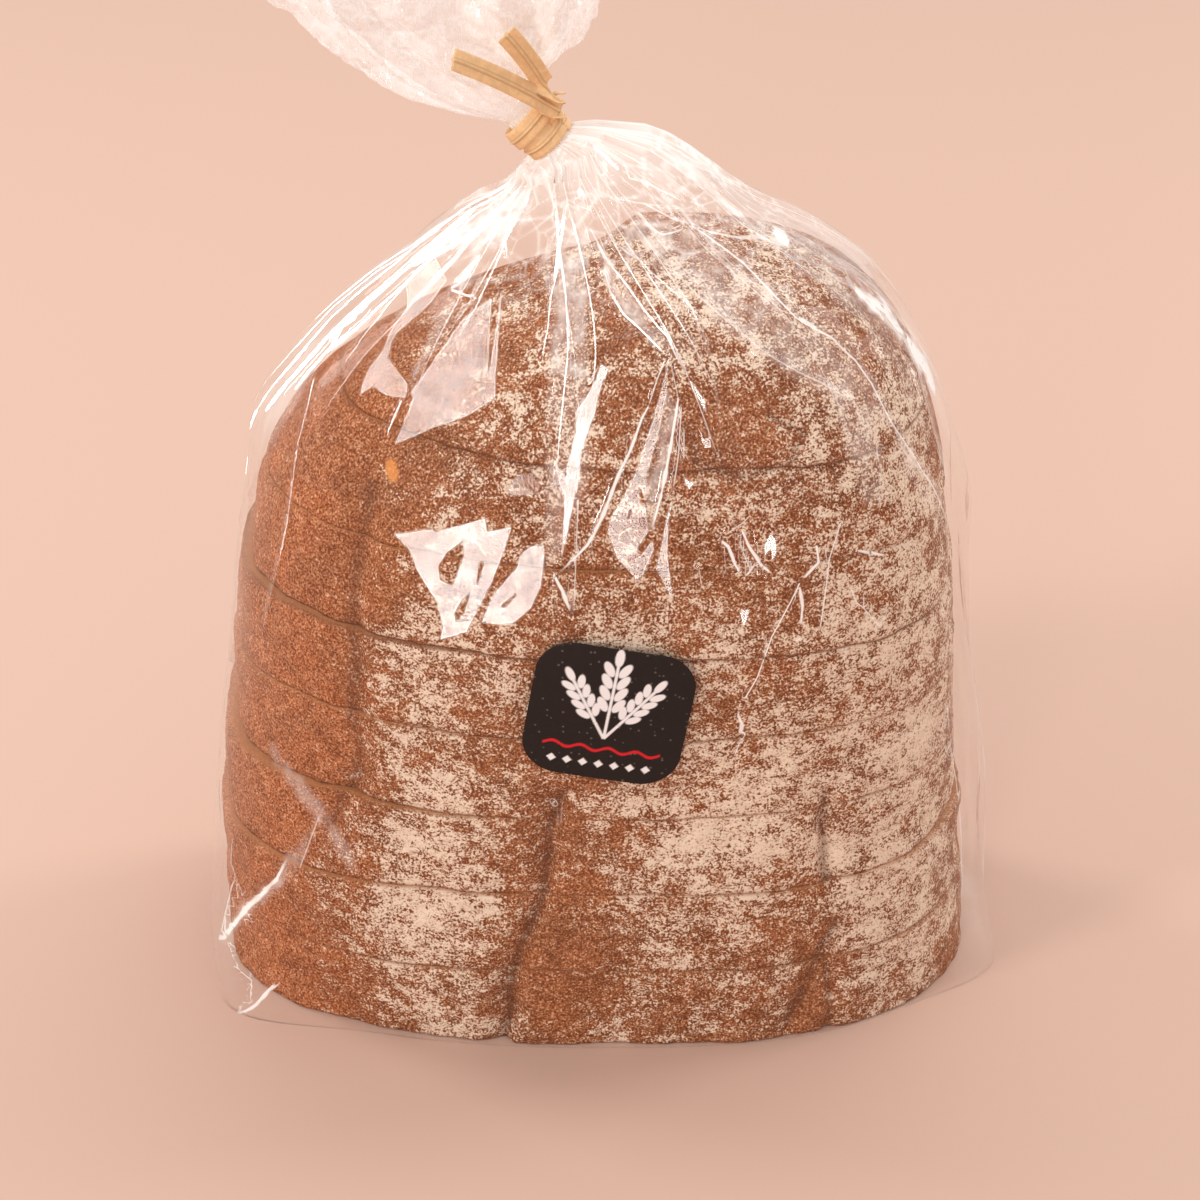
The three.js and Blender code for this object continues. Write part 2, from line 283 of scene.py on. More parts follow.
@dataclass(frozen=True)
class Graph:
    """A node tree that is filled by short calls."""

    tree: bpy.types.NodeTree

    def add(self, kind: str, inputs: dict | None = None, **settings: object) -> bpy.types.Node:
        """Add a node.

        Args:
            kind: The node's type.
            inputs: Values or sockets for its inputs, by name or number.
            **settings: Properties to set on the node.

        Returns:
            The node.
        """
        node = self.tree.nodes.new(kind)
        for key, value in settings.items():
            setattr(node, key, value)
        for key, value in (inputs or {}).items():
            if isinstance(value, Socket):
                self.tree.links.new(value, node.inputs[key])
            else:
                node.inputs[key].default_value = value
        return node

    def math(self, operation: str, a: object, b: object = 0.0, clamp: bool = False) -> Socket:
        """A sum on two numbers or sockets, and the socket with its result."""
        return self.add("ShaderNodeMath", {0: a, 1: b}, operation=operation, use_clamp=clamp).outputs[0]

    def weighted(self, values: tuple[Socket, ...], shares: tuple[float, ...]) -> Socket:
        """Add up values, each times its own share.

        Args:
            values: The sockets to add.
            shares: One factor for each.

        Returns:
            The socket with the sum.
        """
        total = self.math("MULTIPLY", values[0], shares[0])
        for value, share in zip(values[1:], shares[1:]):
            total = self.math("ADD", total, self.math("MULTIPLY", value, share))
        return total

    def vector(self, operation: str, inputs: dict) -> Socket:
        """A sum on vectors, and the socket with its result."""
        return self.add("ShaderNodeVectorMath", inputs, operation=operation).outputs[0]

    def ramp(
        self, value: object, low: float, high: float, out_low: float = 0.0, out_high: float = 1.0
    ) -> Socket:
        """A soft ramp from one range to another, and the socket with its result."""
        ends = {0: value, 1: low, 2: high, 3: out_low, 4: out_high}
        return self.add("ShaderNodeMapRange", ends, interpolation_type="SMOOTHSTEP").outputs[0]

    def blend(self, share: object, a: object, b: object, how: str = "MIX") -> Socket:
        """Mix two colours, and the socket with the result."""
        node = self.add("ShaderNodeMix", data_type="RGBA", blend_type=how, clamp_factor=True)
        for key, value in ((0, share), (6, a), (7, b)):
            if isinstance(value, Socket):
                self.tree.links.new(value, node.inputs[key])
            else:
                node.inputs[key].default_value = value
        return node.outputs[2]

    def noise(
        self, place: object, scale: float, detail: float = 3.0, rough: float = 0.6, twist: float = 0.0
    ) -> Socket:
        """A noise value at a place, scale per metre."""
        node = self.add(
            "ShaderNodeTexNoise",
            {"Vector": place, "Scale": scale, "Detail": detail, "Roughness": rough, "Distortion": twist},
        )
        return node.outputs[0]

    def mark(self, name: str) -> Socket:
        """The number kept on the vertices under a name."""
        return self.add("ShaderNodeAttribute", attribute_name=name).outputs["Fac"]

    def place(self) -> Socket:
        """The place on the object, in metres."""
        return self.add("ShaderNodeTexCoord").outputs["Object"]


def new_material(name: str) -> tuple[bpy.types.Material, Graph, bpy.types.Node]:
    """Start a material.

    Args:
        name: The material's name.

    Returns:
        The material, its graph and its output node.
    """
    material = bpy.data.materials.new(name)
    material.use_nodes = True
    material.node_tree.nodes.clear()
    graph = Graph(material.node_tree)
    return material, graph, graph.add("ShaderNodeOutputMaterial")


def new_group(
    name: str, inputs: dict[str, tuple[str, object]], outputs: dict[str, str]
) -> tuple[Graph, bpy.types.Node, bpy.types.Node]:
    """Start a shader node group.

    Args:
        name: The group's name.
        inputs: Socket type and default by input name.
        outputs: Socket type by output name.

    Returns:
        Its graph, its input node and its output node.
    """
    tree = bpy.data.node_groups.new(name, "ShaderNodeTree")
    for key, (kind, default) in inputs.items():
        socket = tree.interface.new_socket(name=key, in_out="INPUT", socket_type=kind)
        if default is not None:
            socket.default_value = default
    for key, kind in outputs.items():
        tree.interface.new_socket(name=key, in_out="OUTPUT", socket_type=kind)
    graph = Graph(tree)
    return graph, graph.add("NodeGroupInput"), graph.add("NodeGroupOutput")


@dataclass(frozen=True)
class SpeckGroup:
    """Fine bright specks on a rough ground, for crust, crumb and paper."""

    name: str = "fine_specks"
    dot: Ramp = (0.44, 0.2)

    def build(self) -> bpy.types.NodeTree:
        """Make the group once.

        Returns:
            The group's tree, with inputs Vector, Scale and Amount, and outputs Specks and Grain.
        """
        found = bpy.data.node_groups.get(self.name)
        if found:
            return found
        inputs = {
            "Vector": ("NodeSocketVector", None),
            "Scale": ("NodeSocketFloat", 1500.0),
            "Amount": ("NodeSocketFloat", 0.5),
        }
        outputs = {"Specks": "NodeSocketFloat", "Grain": "NodeSocketFloat"}
        graph, start, end = new_group(self.name, inputs, outputs)
        spread = {"Vector": start.outputs["Vector"], "Scale": start.outputs["Scale"]}
        grain = graph.add("ShaderNodeTexNoise", spread | {"Detail": 2.0})
        cells = graph.add("ShaderNodeTexVoronoi", spread)
        dots = graph.ramp(cells.outputs["Distance"], *self.dot)
        pick = graph.add("ShaderNodeSeparateColor", {"Color": cells.outputs["Color"]})
        chosen = graph.math("LESS_THAN", pick.outputs[0], start.outputs["Amount"])
        graph.tree.links.new(graph.math("MULTIPLY", dots, chosen), end.inputs["Specks"])
        graph.tree.links.new(grain.outputs[0], end.inputs["Grain"])
        return graph.tree

    def place(self, graph: Graph, place: Socket, scale: float, amount: float) -> bpy.types.Node:
        """Put the group into a material, with its own scale and its own amount of specks."""
        inputs = {"Vector": place, "Scale": scale, "Amount": amount}
        return graph.add("ShaderNodeGroup", inputs, node_tree=self.build())


@dataclass(frozen=True)
class CrustFinish:
    """Brown crust dusted with flour, and the orange-brown crumb of the cut faces."""

    deep: Colour = (0.15, 0.030, 0.005, 1.0)
    middle: Colour = (0.31, 0.098, 0.027, 1.0)
    pale: Colour = (0.60, 0.28, 0.15, 1.0)
    warm: Colour = (0.41, 0.120, 0.034, 1.0)
    thin_flour: Colour = (0.48, 0.305, 0.205, 1.0)
    thick_flour: Colour = (0.82, 0.645, 0.50, 1.0)
    crumb: Colour = (0.42, 0.16, 0.055, 1.0)
    seam: Colour = (0.44, 0.15, 0.045, 1.0)
    gold: Colour = (0.72, 0.27, 0.07, 1.0)
    # The colour of the painted shade in the crust's grooves and along the cuts between slices.
    groove_and_painted_shade: Colour = (0.10, 0.028, 0.010, 1.0)
    speck_scale: float = 1900.0
    speck_amount: float = 0.34
    patch_scale: float = 300.0
    fleck_scale: float = 950.0
    salt_scale: float = 2300.0
    broad_scale: float = 90.0
    stretch: tuple[float, float, float] = (1.0, 1.0, 1.5)
    tone_shares: tuple[float, ...] = (0.2, 0.3, 0.5)
    dust_shares: tuple[float, ...] = (0.37, 0.28, 0.35)
    body_grain: float = 0.5
    relief_shares: tuple[float, ...] = (0.45, 1.0)
    deep_ramp: Ramp = (0.515, 0.41, 0.0, 0.95)
    pale_ramp: Ramp = (0.51, 0.62)
    cover_ramp: Ramp = (0.475, 0.555)
    loose_ramp: Ramp = (0.0, 0.5, 0.4, 0.65)
    thick_ramp: Ramp = (0.70, 0.86)
    broad_ramp: Ramp = (0.3, 0.7, 0.84, 1.08)
    even_flour: float = 0.5
    flour_pull: float = 0.24
    most_cover: float = 0.94
    bare_rim: float = 0.55
    rim_tint: float = 0.45
    painted_shade_tint: float = 0.75
    rough: float = 0.75
    gloss: float = 0.22
    bump_strength: float = 0.5
    bump_height: float = 0.0006

    def material(self) -> bpy.types.Material:
        """Make the crust material.

        Returns:
            The material.
        """
        material, g, out = new_material("floured_crust")
        place = g.place()
        specks = SpeckGroup().place(g, place, self.speck_scale, self.speck_amount)
        grain = specks.outputs["Grain"]
        long_place = g.add("ShaderNodeMapping", {"Vector": place, "Scale": self.stretch}).outputs[0]
        patches = g.noise(long_place, self.patch_scale, 4.0, 0.65, 0.1)
        flecks = g.noise(long_place, self.fleck_scale, 2.0, 0.7)
        salt = g.noise(place, self.salt_scale, 1.0, 0.5)

        tone = g.weighted((patches, grain, salt), self.tone_shares)
        brown = g.blend(g.mark("warm"), self.middle, self.warm)
        brown = g.blend(g.ramp(tone, *self.deep_ramp), brown, self.deep)
        brown = g.blend(g.ramp(tone, *self.pale_ramp), brown, self.pale)
        broad = g.ramp(g.noise(place, self.broad_scale, 2.0), *self.broad_ramp)
        shaded = g.vector("SCALE", {0: brown, "Scale": broad})

        lean = g.math("MULTIPLY", g.math("SUBTRACT", g.mark("flour"), self.even_flour), self.flour_pull)
        dust = g.math("ADD", g.weighted((patches, flecks, salt), self.dust_shares), lean)
        cover = g.math("MULTIPLY", g.ramp(dust, *self.cover_ramp), self.most_cover)
        loose = g.math("MULTIPLY", specks.outputs["Specks"], g.ramp(g.mark("flour"), *self.loose_ramp))
        kept = g.math("SUBTRACT", 1.0, g.math("MULTIPLY", g.mark("rim"), self.bare_rim))
        cover = g.math("MULTIPLY", g.math("MAXIMUM", cover, loose), kept, clamp=True)
        body = g.math("ADD", dust, g.math("MULTIPLY", grain, self.body_grain))
        flour = g.blend(g.ramp(body, *self.thick_ramp), self.thin_flour, self.thick_flour)

        colour = g.blend(cover, shaded, flour)
        colour = g.blend(g.math("MULTIPLY", g.mark("rim"), self.rim_tint, clamp=True), colour, self.seam)
        colour = g.blend(g.mark("gold"), colour, self.gold)
        # Painted shade: the grooves and the cuts between slices are darkened towards the shade colour.
        shade = g.math("MULTIPLY", g.mark("shade"), self.painted_shade_tint, clamp=True)
        colour = g.blend(shade, colour, self.groove_and_painted_shade)
        colour = g.blend(g.mark("cut"), colour, self.crumb)

        relief = {
            "Height": g.weighted((grain, flecks), self.relief_shares),
            "Strength": self.bump_strength,
            "Distance": self.bump_height,
        }
        skin = {
            "Base Color": colour,
            "Roughness": self.rough,
            "Specular IOR Level": self.gloss,
            "Normal": g.add("ShaderNodeBump", relief).outputs[0],
        }
        g.tree.links.new(g.add("ShaderNodeBsdfPrincipled", skin).outputs[0], out.inputs["Surface"])
        return material


@dataclass(frozen=True)
class CrinkleGroup:
    """Small creased planes with sharp borders, for crumpled film."""

    name: str = "small_crinkles"
    middle: tuple[float, float, float] = (0.5, 0.5, 0.5)
    border: Ramp = (0.07, 0.01)

    def build(self) -> bpy.types.NodeTree:
        """Make the group.

        Returns:
            The group's tree, with inputs Vector, Normal, Scale and Tilt, and outputs Normal and Crease.
        """
        inputs = {
            "Vector": ("NodeSocketVector", None),
            "Normal": ("NodeSocketVector", None),
            "Scale": ("NodeSocketFloat", 400.0),
            "Tilt": ("NodeSocketFloat", 0.6),
        }
        outputs = {"Normal": "NodeSocketVector", "Crease": "NodeSocketFloat"}
        graph, start, end = new_group(self.name, inputs, outputs)
        spread = {"Vector": start.outputs["Vector"], "Scale": start.outputs["Scale"]}
        cells = graph.add("ShaderNodeTexVoronoi", spread)
        edges = graph.add("ShaderNodeTexVoronoi", spread, feature="DISTANCE_TO_EDGE")
        lean = graph.vector("SUBTRACT", {0: cells.outputs["Color"], 1: self.middle})
        lean = graph.vector("SCALE", {0: lean, "Scale": start.outputs["Tilt"]})
        turned = graph.vector("ADD", {0: start.outputs["Normal"], 1: lean})
        graph.tree.links.new(graph.vector("NORMALIZE", {0: turned}), end.inputs["Normal"])
        graph.tree.links.new(graph.ramp(edges.outputs["Distance"], *self.border), end.inputs["Crease"])
        return graph.tree


class FilmKind(Enum):
    """How the film's surface is: plain, stretched into flat planes or gathered in small crinkles."""

    PLAIN = 1
    STRETCHED = 2
    GATHERED = 3


@dataclass(frozen=True)
class FilmFinish:
    """Clear glossy film: it mirrors a little, more at a slant, and is milky where it is folded on itself.

    The marks plane, aim and glare give flat planes that mirror a lamp, with a painted glint on their borders,
    and line and white give thin creases, whose white is part crease whitening and part painted highlight.
    Lets_light_in is the share of shadows and soft light that passes as if there were no film.
    """

    name: str
    haze: float = 0.004
    slant_haze: float = 0.12
    gloss: float = 0.020
    rough: float = 0.03
    milk: Colour = (0.97, 0.90, 0.85, 1.0)
    kind: FilmKind = FilmKind.STRETCHED
    lets_light_in: float = 1.0
    clear: Colour = (0.99, 0.985, 0.98, 1.0)
    silver: Colour = (1.0, 1.0, 1.0, 1.0)
    milk_rough: float = 0.5
    slant_gloss: float = 0.8
    gloss_power: float = 4.5
    haze_power: float = 3.0
    line_ramp: Ramp = (0.19, 0.05)
    plane_ramp: Ramp = (-0.05, 0.05)
    painted_glint_ramp: Ramp = (0.17, 0.04, 0.0, 0.32)
    least_line: float = 0.08
    crinkle_stretch: tuple[float, float, float] = (1.5, 1.5, 0.62)
    crinkle_scale: float = 380.0
    crinkle_tilt: float = 0.9
    crinkle_white: float = 0.15

    def stretched(self, g: Graph, own: Socket) -> tuple[Socket, Socket, Socket]:
        """Flat planes and creases from the marks, with painted highlights on the creases and the planes'
        borders.

        Args:
            g: The material's graph.
            own: The surface's own normal.

        Returns:
            Sockets for the normal, the glare and the whiteness, which is partly painted highlight.
        """
        plane = g.mark("plane")
        line = g.ramp(g.math("ABSOLUTE", g.mark("line")), *self.line_ramp)
        line = g.math("MULTIPLY", line, g.mark("white"))
        seen = g.math("GREATER_THAN", line, self.least_line)
        flat = g.math("MAXIMUM", g.ramp(plane, *self.plane_ramp), seen)
        aim = g.add("ShaderNodeAttribute", attribute_name="aim").outputs["Vector"]
        turned = g.add("ShaderNodeMix", {0: flat, 4: own, 5: aim}, data_type="VECTOR").outputs[1]
        # Painted glint: a thin white border along the edges of each flat plane.
        rim = g.ramp(g.math("ABSOLUTE", plane), *self.painted_glint_ramp)
        return g.vector("NORMALIZE", {0: turned}), g.mark("glare"), g.math("MAXIMUM", rim, line)

    def gathered(self, g: Graph, own: Socket) -> tuple[Socket, float, Socket]:
        """Small crinkles.

        Args:
            g: The material's graph.
            own: The surface's own normal.

        Returns:
            The normal, no glare and the whiteness.
        """
        place = g.add("ShaderNodeMapping", {"Vector": g.place(), "Scale": self.crinkle_stretch}).outputs[0]
        inputs = {"Vector": place, "Normal": own, "Scale": self.crinkle_scale, "Tilt": self.crinkle_tilt}
        crinkle = g.add("ShaderNodeGroup", inputs, node_tree=CrinkleGroup().build())
        white = g.math("MULTIPLY", crinkle.outputs["Crease"], self.crinkle_white)
        return crinkle.outputs["Normal"], 0.0, white

    def material(self) -> bpy.types.Material:
        """Make the film material.

        Returns:
            The material.
        """
        material, g, out = new_material(self.name)
        own = g.add("ShaderNodeNewGeometry").outputs["Normal"]
        normal, glare, white = own, 0.0, 0.0
        if self.kind is FilmKind.GATHERED:
            normal, glare, white = self.gathered(g, own)
        elif self.kind is FilmKind.STRETCHED:
            normal, glare, white = self.stretched(g, own)
        clear = g.add("ShaderNodeBsdfTransparent", {"Color": self.clear})
        bare = {"Base Color": self.silver, "Metallic": 1.0, "Roughness": self.rough, "Normal": normal}
        mirror = g.add("ShaderNodeBsdfPrincipled", bare)
        white_film = {"Base Color": self.milk, "Roughness": self.milk_rough, "Specular IOR Level": 0.0}
        milk = g.add("ShaderNodeBsdfPrincipled", white_film)
        slant = g.add("ShaderNodeLayerWeight", {"Blend": 0.5}).outputs["Facing"]
        edge = g.math("MULTIPLY", g.math("POWER", slant, self.gloss_power), self.slant_gloss)
        bright = g.math("MULTIPLY", g.math("ADD", glare, 1.0), self.gloss)
        ray = g.add("ShaderNodeLightPath")
        passing = g.math("MAXIMUM", ray.outputs["Is Shadow Ray"], ray.outputs["Is Diffuse Ray"])
        seen = g.math("SUBTRACT", 1.0, g.math("MULTIPLY", passing, self.lets_light_in))
        shine = g.math("MULTIPLY", g.math("ADD", edge, bright, clamp=True), seen)
        cloud = g.math("MULTIPLY", g.math("POWER", slant, self.haze_power), self.slant_haze)
        cloud = g.math("ADD", g.math("ADD", cloud, self.haze), g.mark("milk"))
        # Painted highlight: the white of the creases and of the planes' borders is added to the milky film.
        cloud = g.math("MULTIPLY", g.math("ADD", cloud, white, clamp=True), seen)
        veiled = g.add("ShaderNodeMixShader", {0: cloud, 1: clear.outputs[0], 2: milk.outputs[0]})
        shell = g.add("ShaderNodeMixShader", {0: shine, 1: veiled.outputs[0], 2: mirror.outputs[0]})
        g.tree.links.new(shell.outputs[0], out.inputs["Surface"])
        return material


@dataclass(frozen=True)
class PaperFinish:
    """Plain or printed paper."""

    name: str
    colour: Colour
    rough: float = 0.7
    sheen: float = 0.3
    printed: bool = False
    ink: Colour = (0.82, 0.76, 0.75, 1.0)
    red: Colour = (0.62, 0.012, 0.02, 1.0)
    dust: Colour = (0.5, 0.4, 0.36, 1.0)
    dust_share: float = 0.16
    fibre_shade: float = 0.72
    # How bright the painted shade beside the wire's ridge is, as a share of the paper's colour.
    painted_ridge_shade: float = 0.62
    fibre_scale: float = 700.0
    fibre_ramp: Ramp = (0.40, 0.66, 0.45, 0.0)
    plain_grain: float = 2200.0
    printed_grain: float = 1300.0
    speck_amount: float = 0.10
    bump_strength: float = 0.18
    bump_height: float = 0.0002

    def darker(self, share: float) -> Colour:
        """The paper's colour at a share of its brightness."""
        return tuple(c * share for c in self.colour[:3]) + (1.0,)

    def material(self) -> bpy.types.Material:
        """Make the paper material.

        Returns:
            The material.
        """
        material, g, out = new_material(self.name)
        place = g.place()
        grain_scale = self.printed_grain if self.printed else self.plain_grain
        specks = SpeckGroup().place(g, place, grain_scale, self.speck_amount)
        fibre = g.ramp(g.noise(place, self.fibre_scale, 3.0, 0.6), *self.fibre_ramp)
        colour = g.blend(fibre, self.colour, self.darker(self.fibre_shade))
        if self.printed:
            dust = g.math("MULTIPLY", specks.outputs["Specks"], self.dust_share)
            colour = g.blend(dust, colour, self.dust)
            colour = g.blend(g.mark("ink"), colour, self.ink)
            colour = g.blend(g.mark("red"), colour, self.red)
        else:
            # Painted shade in the creases along both flanks of the wire's ridge.
            colour = g.blend(g.mark("wire"), colour, self.darker(self.painted_ridge_shade))
        relief = {
            "Height": specks.outputs["Grain"], "Strength": self.bump_strength, "Distance": self.bump_height
        }
        skin = {
            "Base Color": colour,
            "Roughness": self.rough,
            "Specular IOR Level": self.sheen,
            "Normal": g.add("ShaderNodeBump", relief).outputs[0],
        }
        g.tree.links.new(g.add("ShaderNodeBsdfPrincipled", skin).outputs[0], out.inputs["Surface"])
        return material


@dataclass(frozen=True)
class LoafShape:
    """The loaf's outline at every height, which bread and film share. Angle 0 is the front crest."""

    left: float = 79.5
    right: float = 78.5
    taper_left: float = 0.08
    taper_right: float = 0.05
    front: float = 46.0
    bulge: float = 3.0
    back: float = 38.0
    crest: float = 4.0
    top: float = 163.8
    dome_left: float = 8.0
    dome_right: float = 5.6
    fall_left: float = 1.3
    fall_right: float = 0.42

    def axes(self, angle: np.ndarray, z: np.ndarray) -> tuple[np.ndarray, np.ndarray, np.ndarray]:
        """Half width, half depth and outline power on the side that the angle looks to.

        Args:
            angle: Angles round the loaf, turning towards +X.
            z: Heights.

        Returns:
            Half width from the crest's plane, half depth and power.
        """
        s, c = np.sin(angle), np.cos(angle)
        full = np.where(s > 0, self.right - self.taper_right * z, self.left - self.taper_left * z)
        side = full + np.where(s > 0, -self.crest, self.crest)
        depth = np.where(c > 0, self.front + self.bulge * smooth(z, 55, 105), self.back)
        rise = smooth(z, 20, 100)
        power = np.where(c > 0, np.where(s > 0, mix(2.5, 2.9, rise), mix(2.5, 2.05, rise)), 3.4)
        return side, depth, power

    def bread(self, angle: np.ndarray, z: np.ndarray, grow: np.ndarray) -> np.ndarray:
        """Points of the crust.

        Args:
            angle: Angles round the loaf.
            z: Heights.
            grow: How far each point stands proud of the plain outline.

        Returns:
            Points, last axis x, y, z.
        """
        side, depth, power = self.axes(angle, z)
        s, c = np.sin(angle), np.cos(angle)
        turned = smooth(s, -1.0, 0.1)
        steep = mix(self.dome_left, self.dome_right, turned)
        share = (1 - np.clip(z / self.top, 0, 1) ** steep) ** mix(self.fall_left, self.fall_right, turned)
        reach = (np.abs(s / (side + grow)) ** power + np.abs(c / (depth + grow)) ** power) ** (-1 / power)
        shift = self.crest * share + 9.0 * np.clip((z - 110) / 58, 0, 1) ** 1.5
        return np.stack([shift + share * reach * s, -share * reach * c, z + 0 * s], -1)


@dataclass(frozen=True)
class Groove:
    """One of the crust's grooves, along a line on the front: its width, its depth and how strong its painted
    shade is.
    """

    path: Path
    width: float
    depth: float
    painted_darkness: float


@dataclass(frozen=True)
class Crease:
    """A fold in the film along a line on the front.

    White is how white the film is on the line, part crease whitening and part painted highlight, half is
    half the line's width, and height and width are the ridge's.
    """

    path: Path
    white: float
    half: float = FINE
    height: float = 0.35
    width: float = 0.9


@dataclass(frozen=True)
class Patch:
    """A soft oval area on the front: its middle, its reach across and up, and its strength."""

    x: float
    z: float
    across: float
    up: float
    strength: float

    def at(self, x: np.ndarray, z: np.ndarray) -> np.ndarray:
        """The patch's strength at places on the front."""
        return self.strength * np.exp(-(((x - self.x) / self.across) ** 2) - ((z - self.z) / self.up) ** 2)


@dataclass(frozen=True)
class SliceOffset:
    """How far one slice stands out to the left, to the right and to the front."""

    left: float
    right: float
    front: float


@dataclass
class SlicedLoaf:
    """Seven slices and the end piece, each a closed piece with its own crust and cut faces."""

    shape: LoafShape
    thickness: float = 19.0
    columns: int = 640
    side_rows: int = 36
    end_rows: int = 96
    crown: float = 154.0
    gap: float = 0.05
    offsets: tuple[SliceOffset, ...] = (
        SliceOffset(1.0, 1.5, 0.6),
        SliceOffset(2.4, 0.8, 0.5),
        SliceOffset(2.2, -0.7, 0.1),
        SliceOffset(0.9, -0.6, 0.6),
        SliceOffset(1.3, -0.4, -0.2),
        SliceOffset(0.2, -0.4, 0.9),
        SliceOffset(0.6, 0.9, 0.0),
        SliceOffset(0.5, 0.9, 1.0),
    )
    # How open the cut under each slice is; it also sets how strong the painted shade along that cut is.
    seams: tuple[float, ...] = (0.0, 0.6, 0.3, 0.6, 0.3, 1.3, 0.4, 1.1)
    grooves: tuple[Groove, ...] = (
        Groove(((-43.8, 123.0), (-47.0, 102.0), (-47.4, 80.0), (-48.6, 62.0), (-53.1, 50.0)), 3.2, 1.5, 0.6),
        Groove(
            ((-7.0, 62.0), (-7.8, 58.0), (-10.0, 45.5), (-11.3, 35.5), (-16.4, 22.5), (-19.7, 0.0)),
            2.4, 2.2, 0.9,
        ),
        Groove(((46.9, 59.5), (47.6, 38.0)), 2.0, 1.2, 0.7),
        Groove(((49.2, 26.0), (46.4, 19.0), (39.3, 3.0)), 2.2, 1.3, 0.6),
        Groove(((47.6, 19.0), (48.3, 0.0)), 1.6, 1.0, 0.5),
        Groove(
            ((17.5, 141.5), (19.6, 134.5), (27.8, 131.5), (36.3, 133.5), (38.3, 138.5), (32.5, 142.5)),
            1.4, 0.8, 0.5,
        ),
    )
    dusted: tuple[Patch, ...] = (
        Patch(-38, 32, 20, 34, 0.40),
        Patch(-34, 80, 14, 22, 0.22),
        Patch(-22, 112, 14, 16, 0.18),
        Patch(16, 34, 14, 26, 0.20),
        Patch(26, 62, 22, 30, 0.30),
        Patch(68, 70, 22, 60, 0.40),
        Patch(60, 20, 14, 24, 0.26),
        Patch(45, 130, 28, 26, 0.16),
        Patch(-4, 134, 16, 12, 0.20),
        Patch(20, 158, 30, 12, 0.12),
        Patch(10, 100, 16, 12, 0.14),
        Patch(-9, 20, 8, 26, -0.30),
        Patch(-2, 44, 8, 12, -0.22),
        Patch(-60, 95, 16, 70, -0.45),
        Patch(-75, 40, 14, 60, -0.60),
        Patch(-44, 140, 16, 18, -0.30),
        Patch(18, 141, 9, 7, -0.28),
        Patch(44, 12, 4, 12, -0.45),
    )
    even_flour: float = 0.33
    side_flour: float = 0.16
    crown_flour: float = 0.10
    tear: Patch = Patch(-38.7, 126.5, 1.5, 2.2, 1.0)
    own_pattern: float = 1.7
    most_relief: float = 0.5
    inset: float = 0.05
    open_inset: float = 0.32
    inset_fall: float = 0.45
    line_fall: float = 0.35
    swell: Layer = Layer(26.0, 2, 3.1, 0.75)
    lumps: Layer = Layer(8.5, 3, 9.7, 0.45)
    grit: Layer = Layer(2.4, 2, 5.2, 0.18)
    groove_wander: Layer = Layer(12.0, 2, 31.0, 1.2)
    wander: Layer = Layer(30.0, 1, 0.0, 0.45)
    side_edge: Layer = Layer(16.0, 3, 15.0, 0.5)
    broad_flour: Layer = Layer(20.0, 2, 12.0, 0.14)
    fine_flour: Layer = Layer(7.0, 3, 44.0, 0.26)
    cut_waver: Layer = Layer(24.0, 4, 40.0, 0.6)
    torn: Layer = Layer(3.0, 2, 21.0, 0.5)

    def columns_round(self) -> np.ndarray:
        """Angles of the columns: even along the outline, and twice as close on the front.

        Returns:
            Angles from -pi to pi, the last one closing the round.
        """
        fine = np.linspace(-math.pi, math.pi, 4001)
        points = self.shape.bread(fine, np.full(fine.shape, 60.0), np.zeros(fine.shape))
        steps = np.linalg.norm(np.diff(points, axis=0), axis=1)
        steps = steps * np.where(np.cos(fine[:-1]) > -0.05, 2.0, 1.0)
        length = np.concatenate([[0.0], np.cumsum(steps)])
        return np.interp(np.linspace(0, length[-1], self.columns + 1), length, fine)

    def groove_depth(self, x: np.ndarray, z: np.ndarray, front: np.ndarray) -> tuple[np.ndarray, np.ndarray]:
        """Depth and painted shade of the grooves at places on the crust.

        Args:
            x: Places across.
            z: Heights.
            front: 1 on the front, 0 behind.

        Returns:
            Depth in millimetres and painted shade from 0 to 1.
        """
        depth, painted_darkness = np.zeros(x.shape), np.zeros(x.shape)
        for groove_and_painted_shade in self.grooves:
            distance, _, _ = path_distance(x, z, groove_and_painted_shade.path)
            profile = np.exp(-((distance / groove_and_painted_shade.width) ** 2))
            depth = np.maximum(depth, groove_and_painted_shade.depth * profile)
            painted_darkness = np.maximum(painted_darkness, groove_and_painted_shade.painted_darkness * np.exp(-((distance / (groove_and_painted_shade.width * 0.42)) ** 2)))
        return depth * front, painted_darkness * front

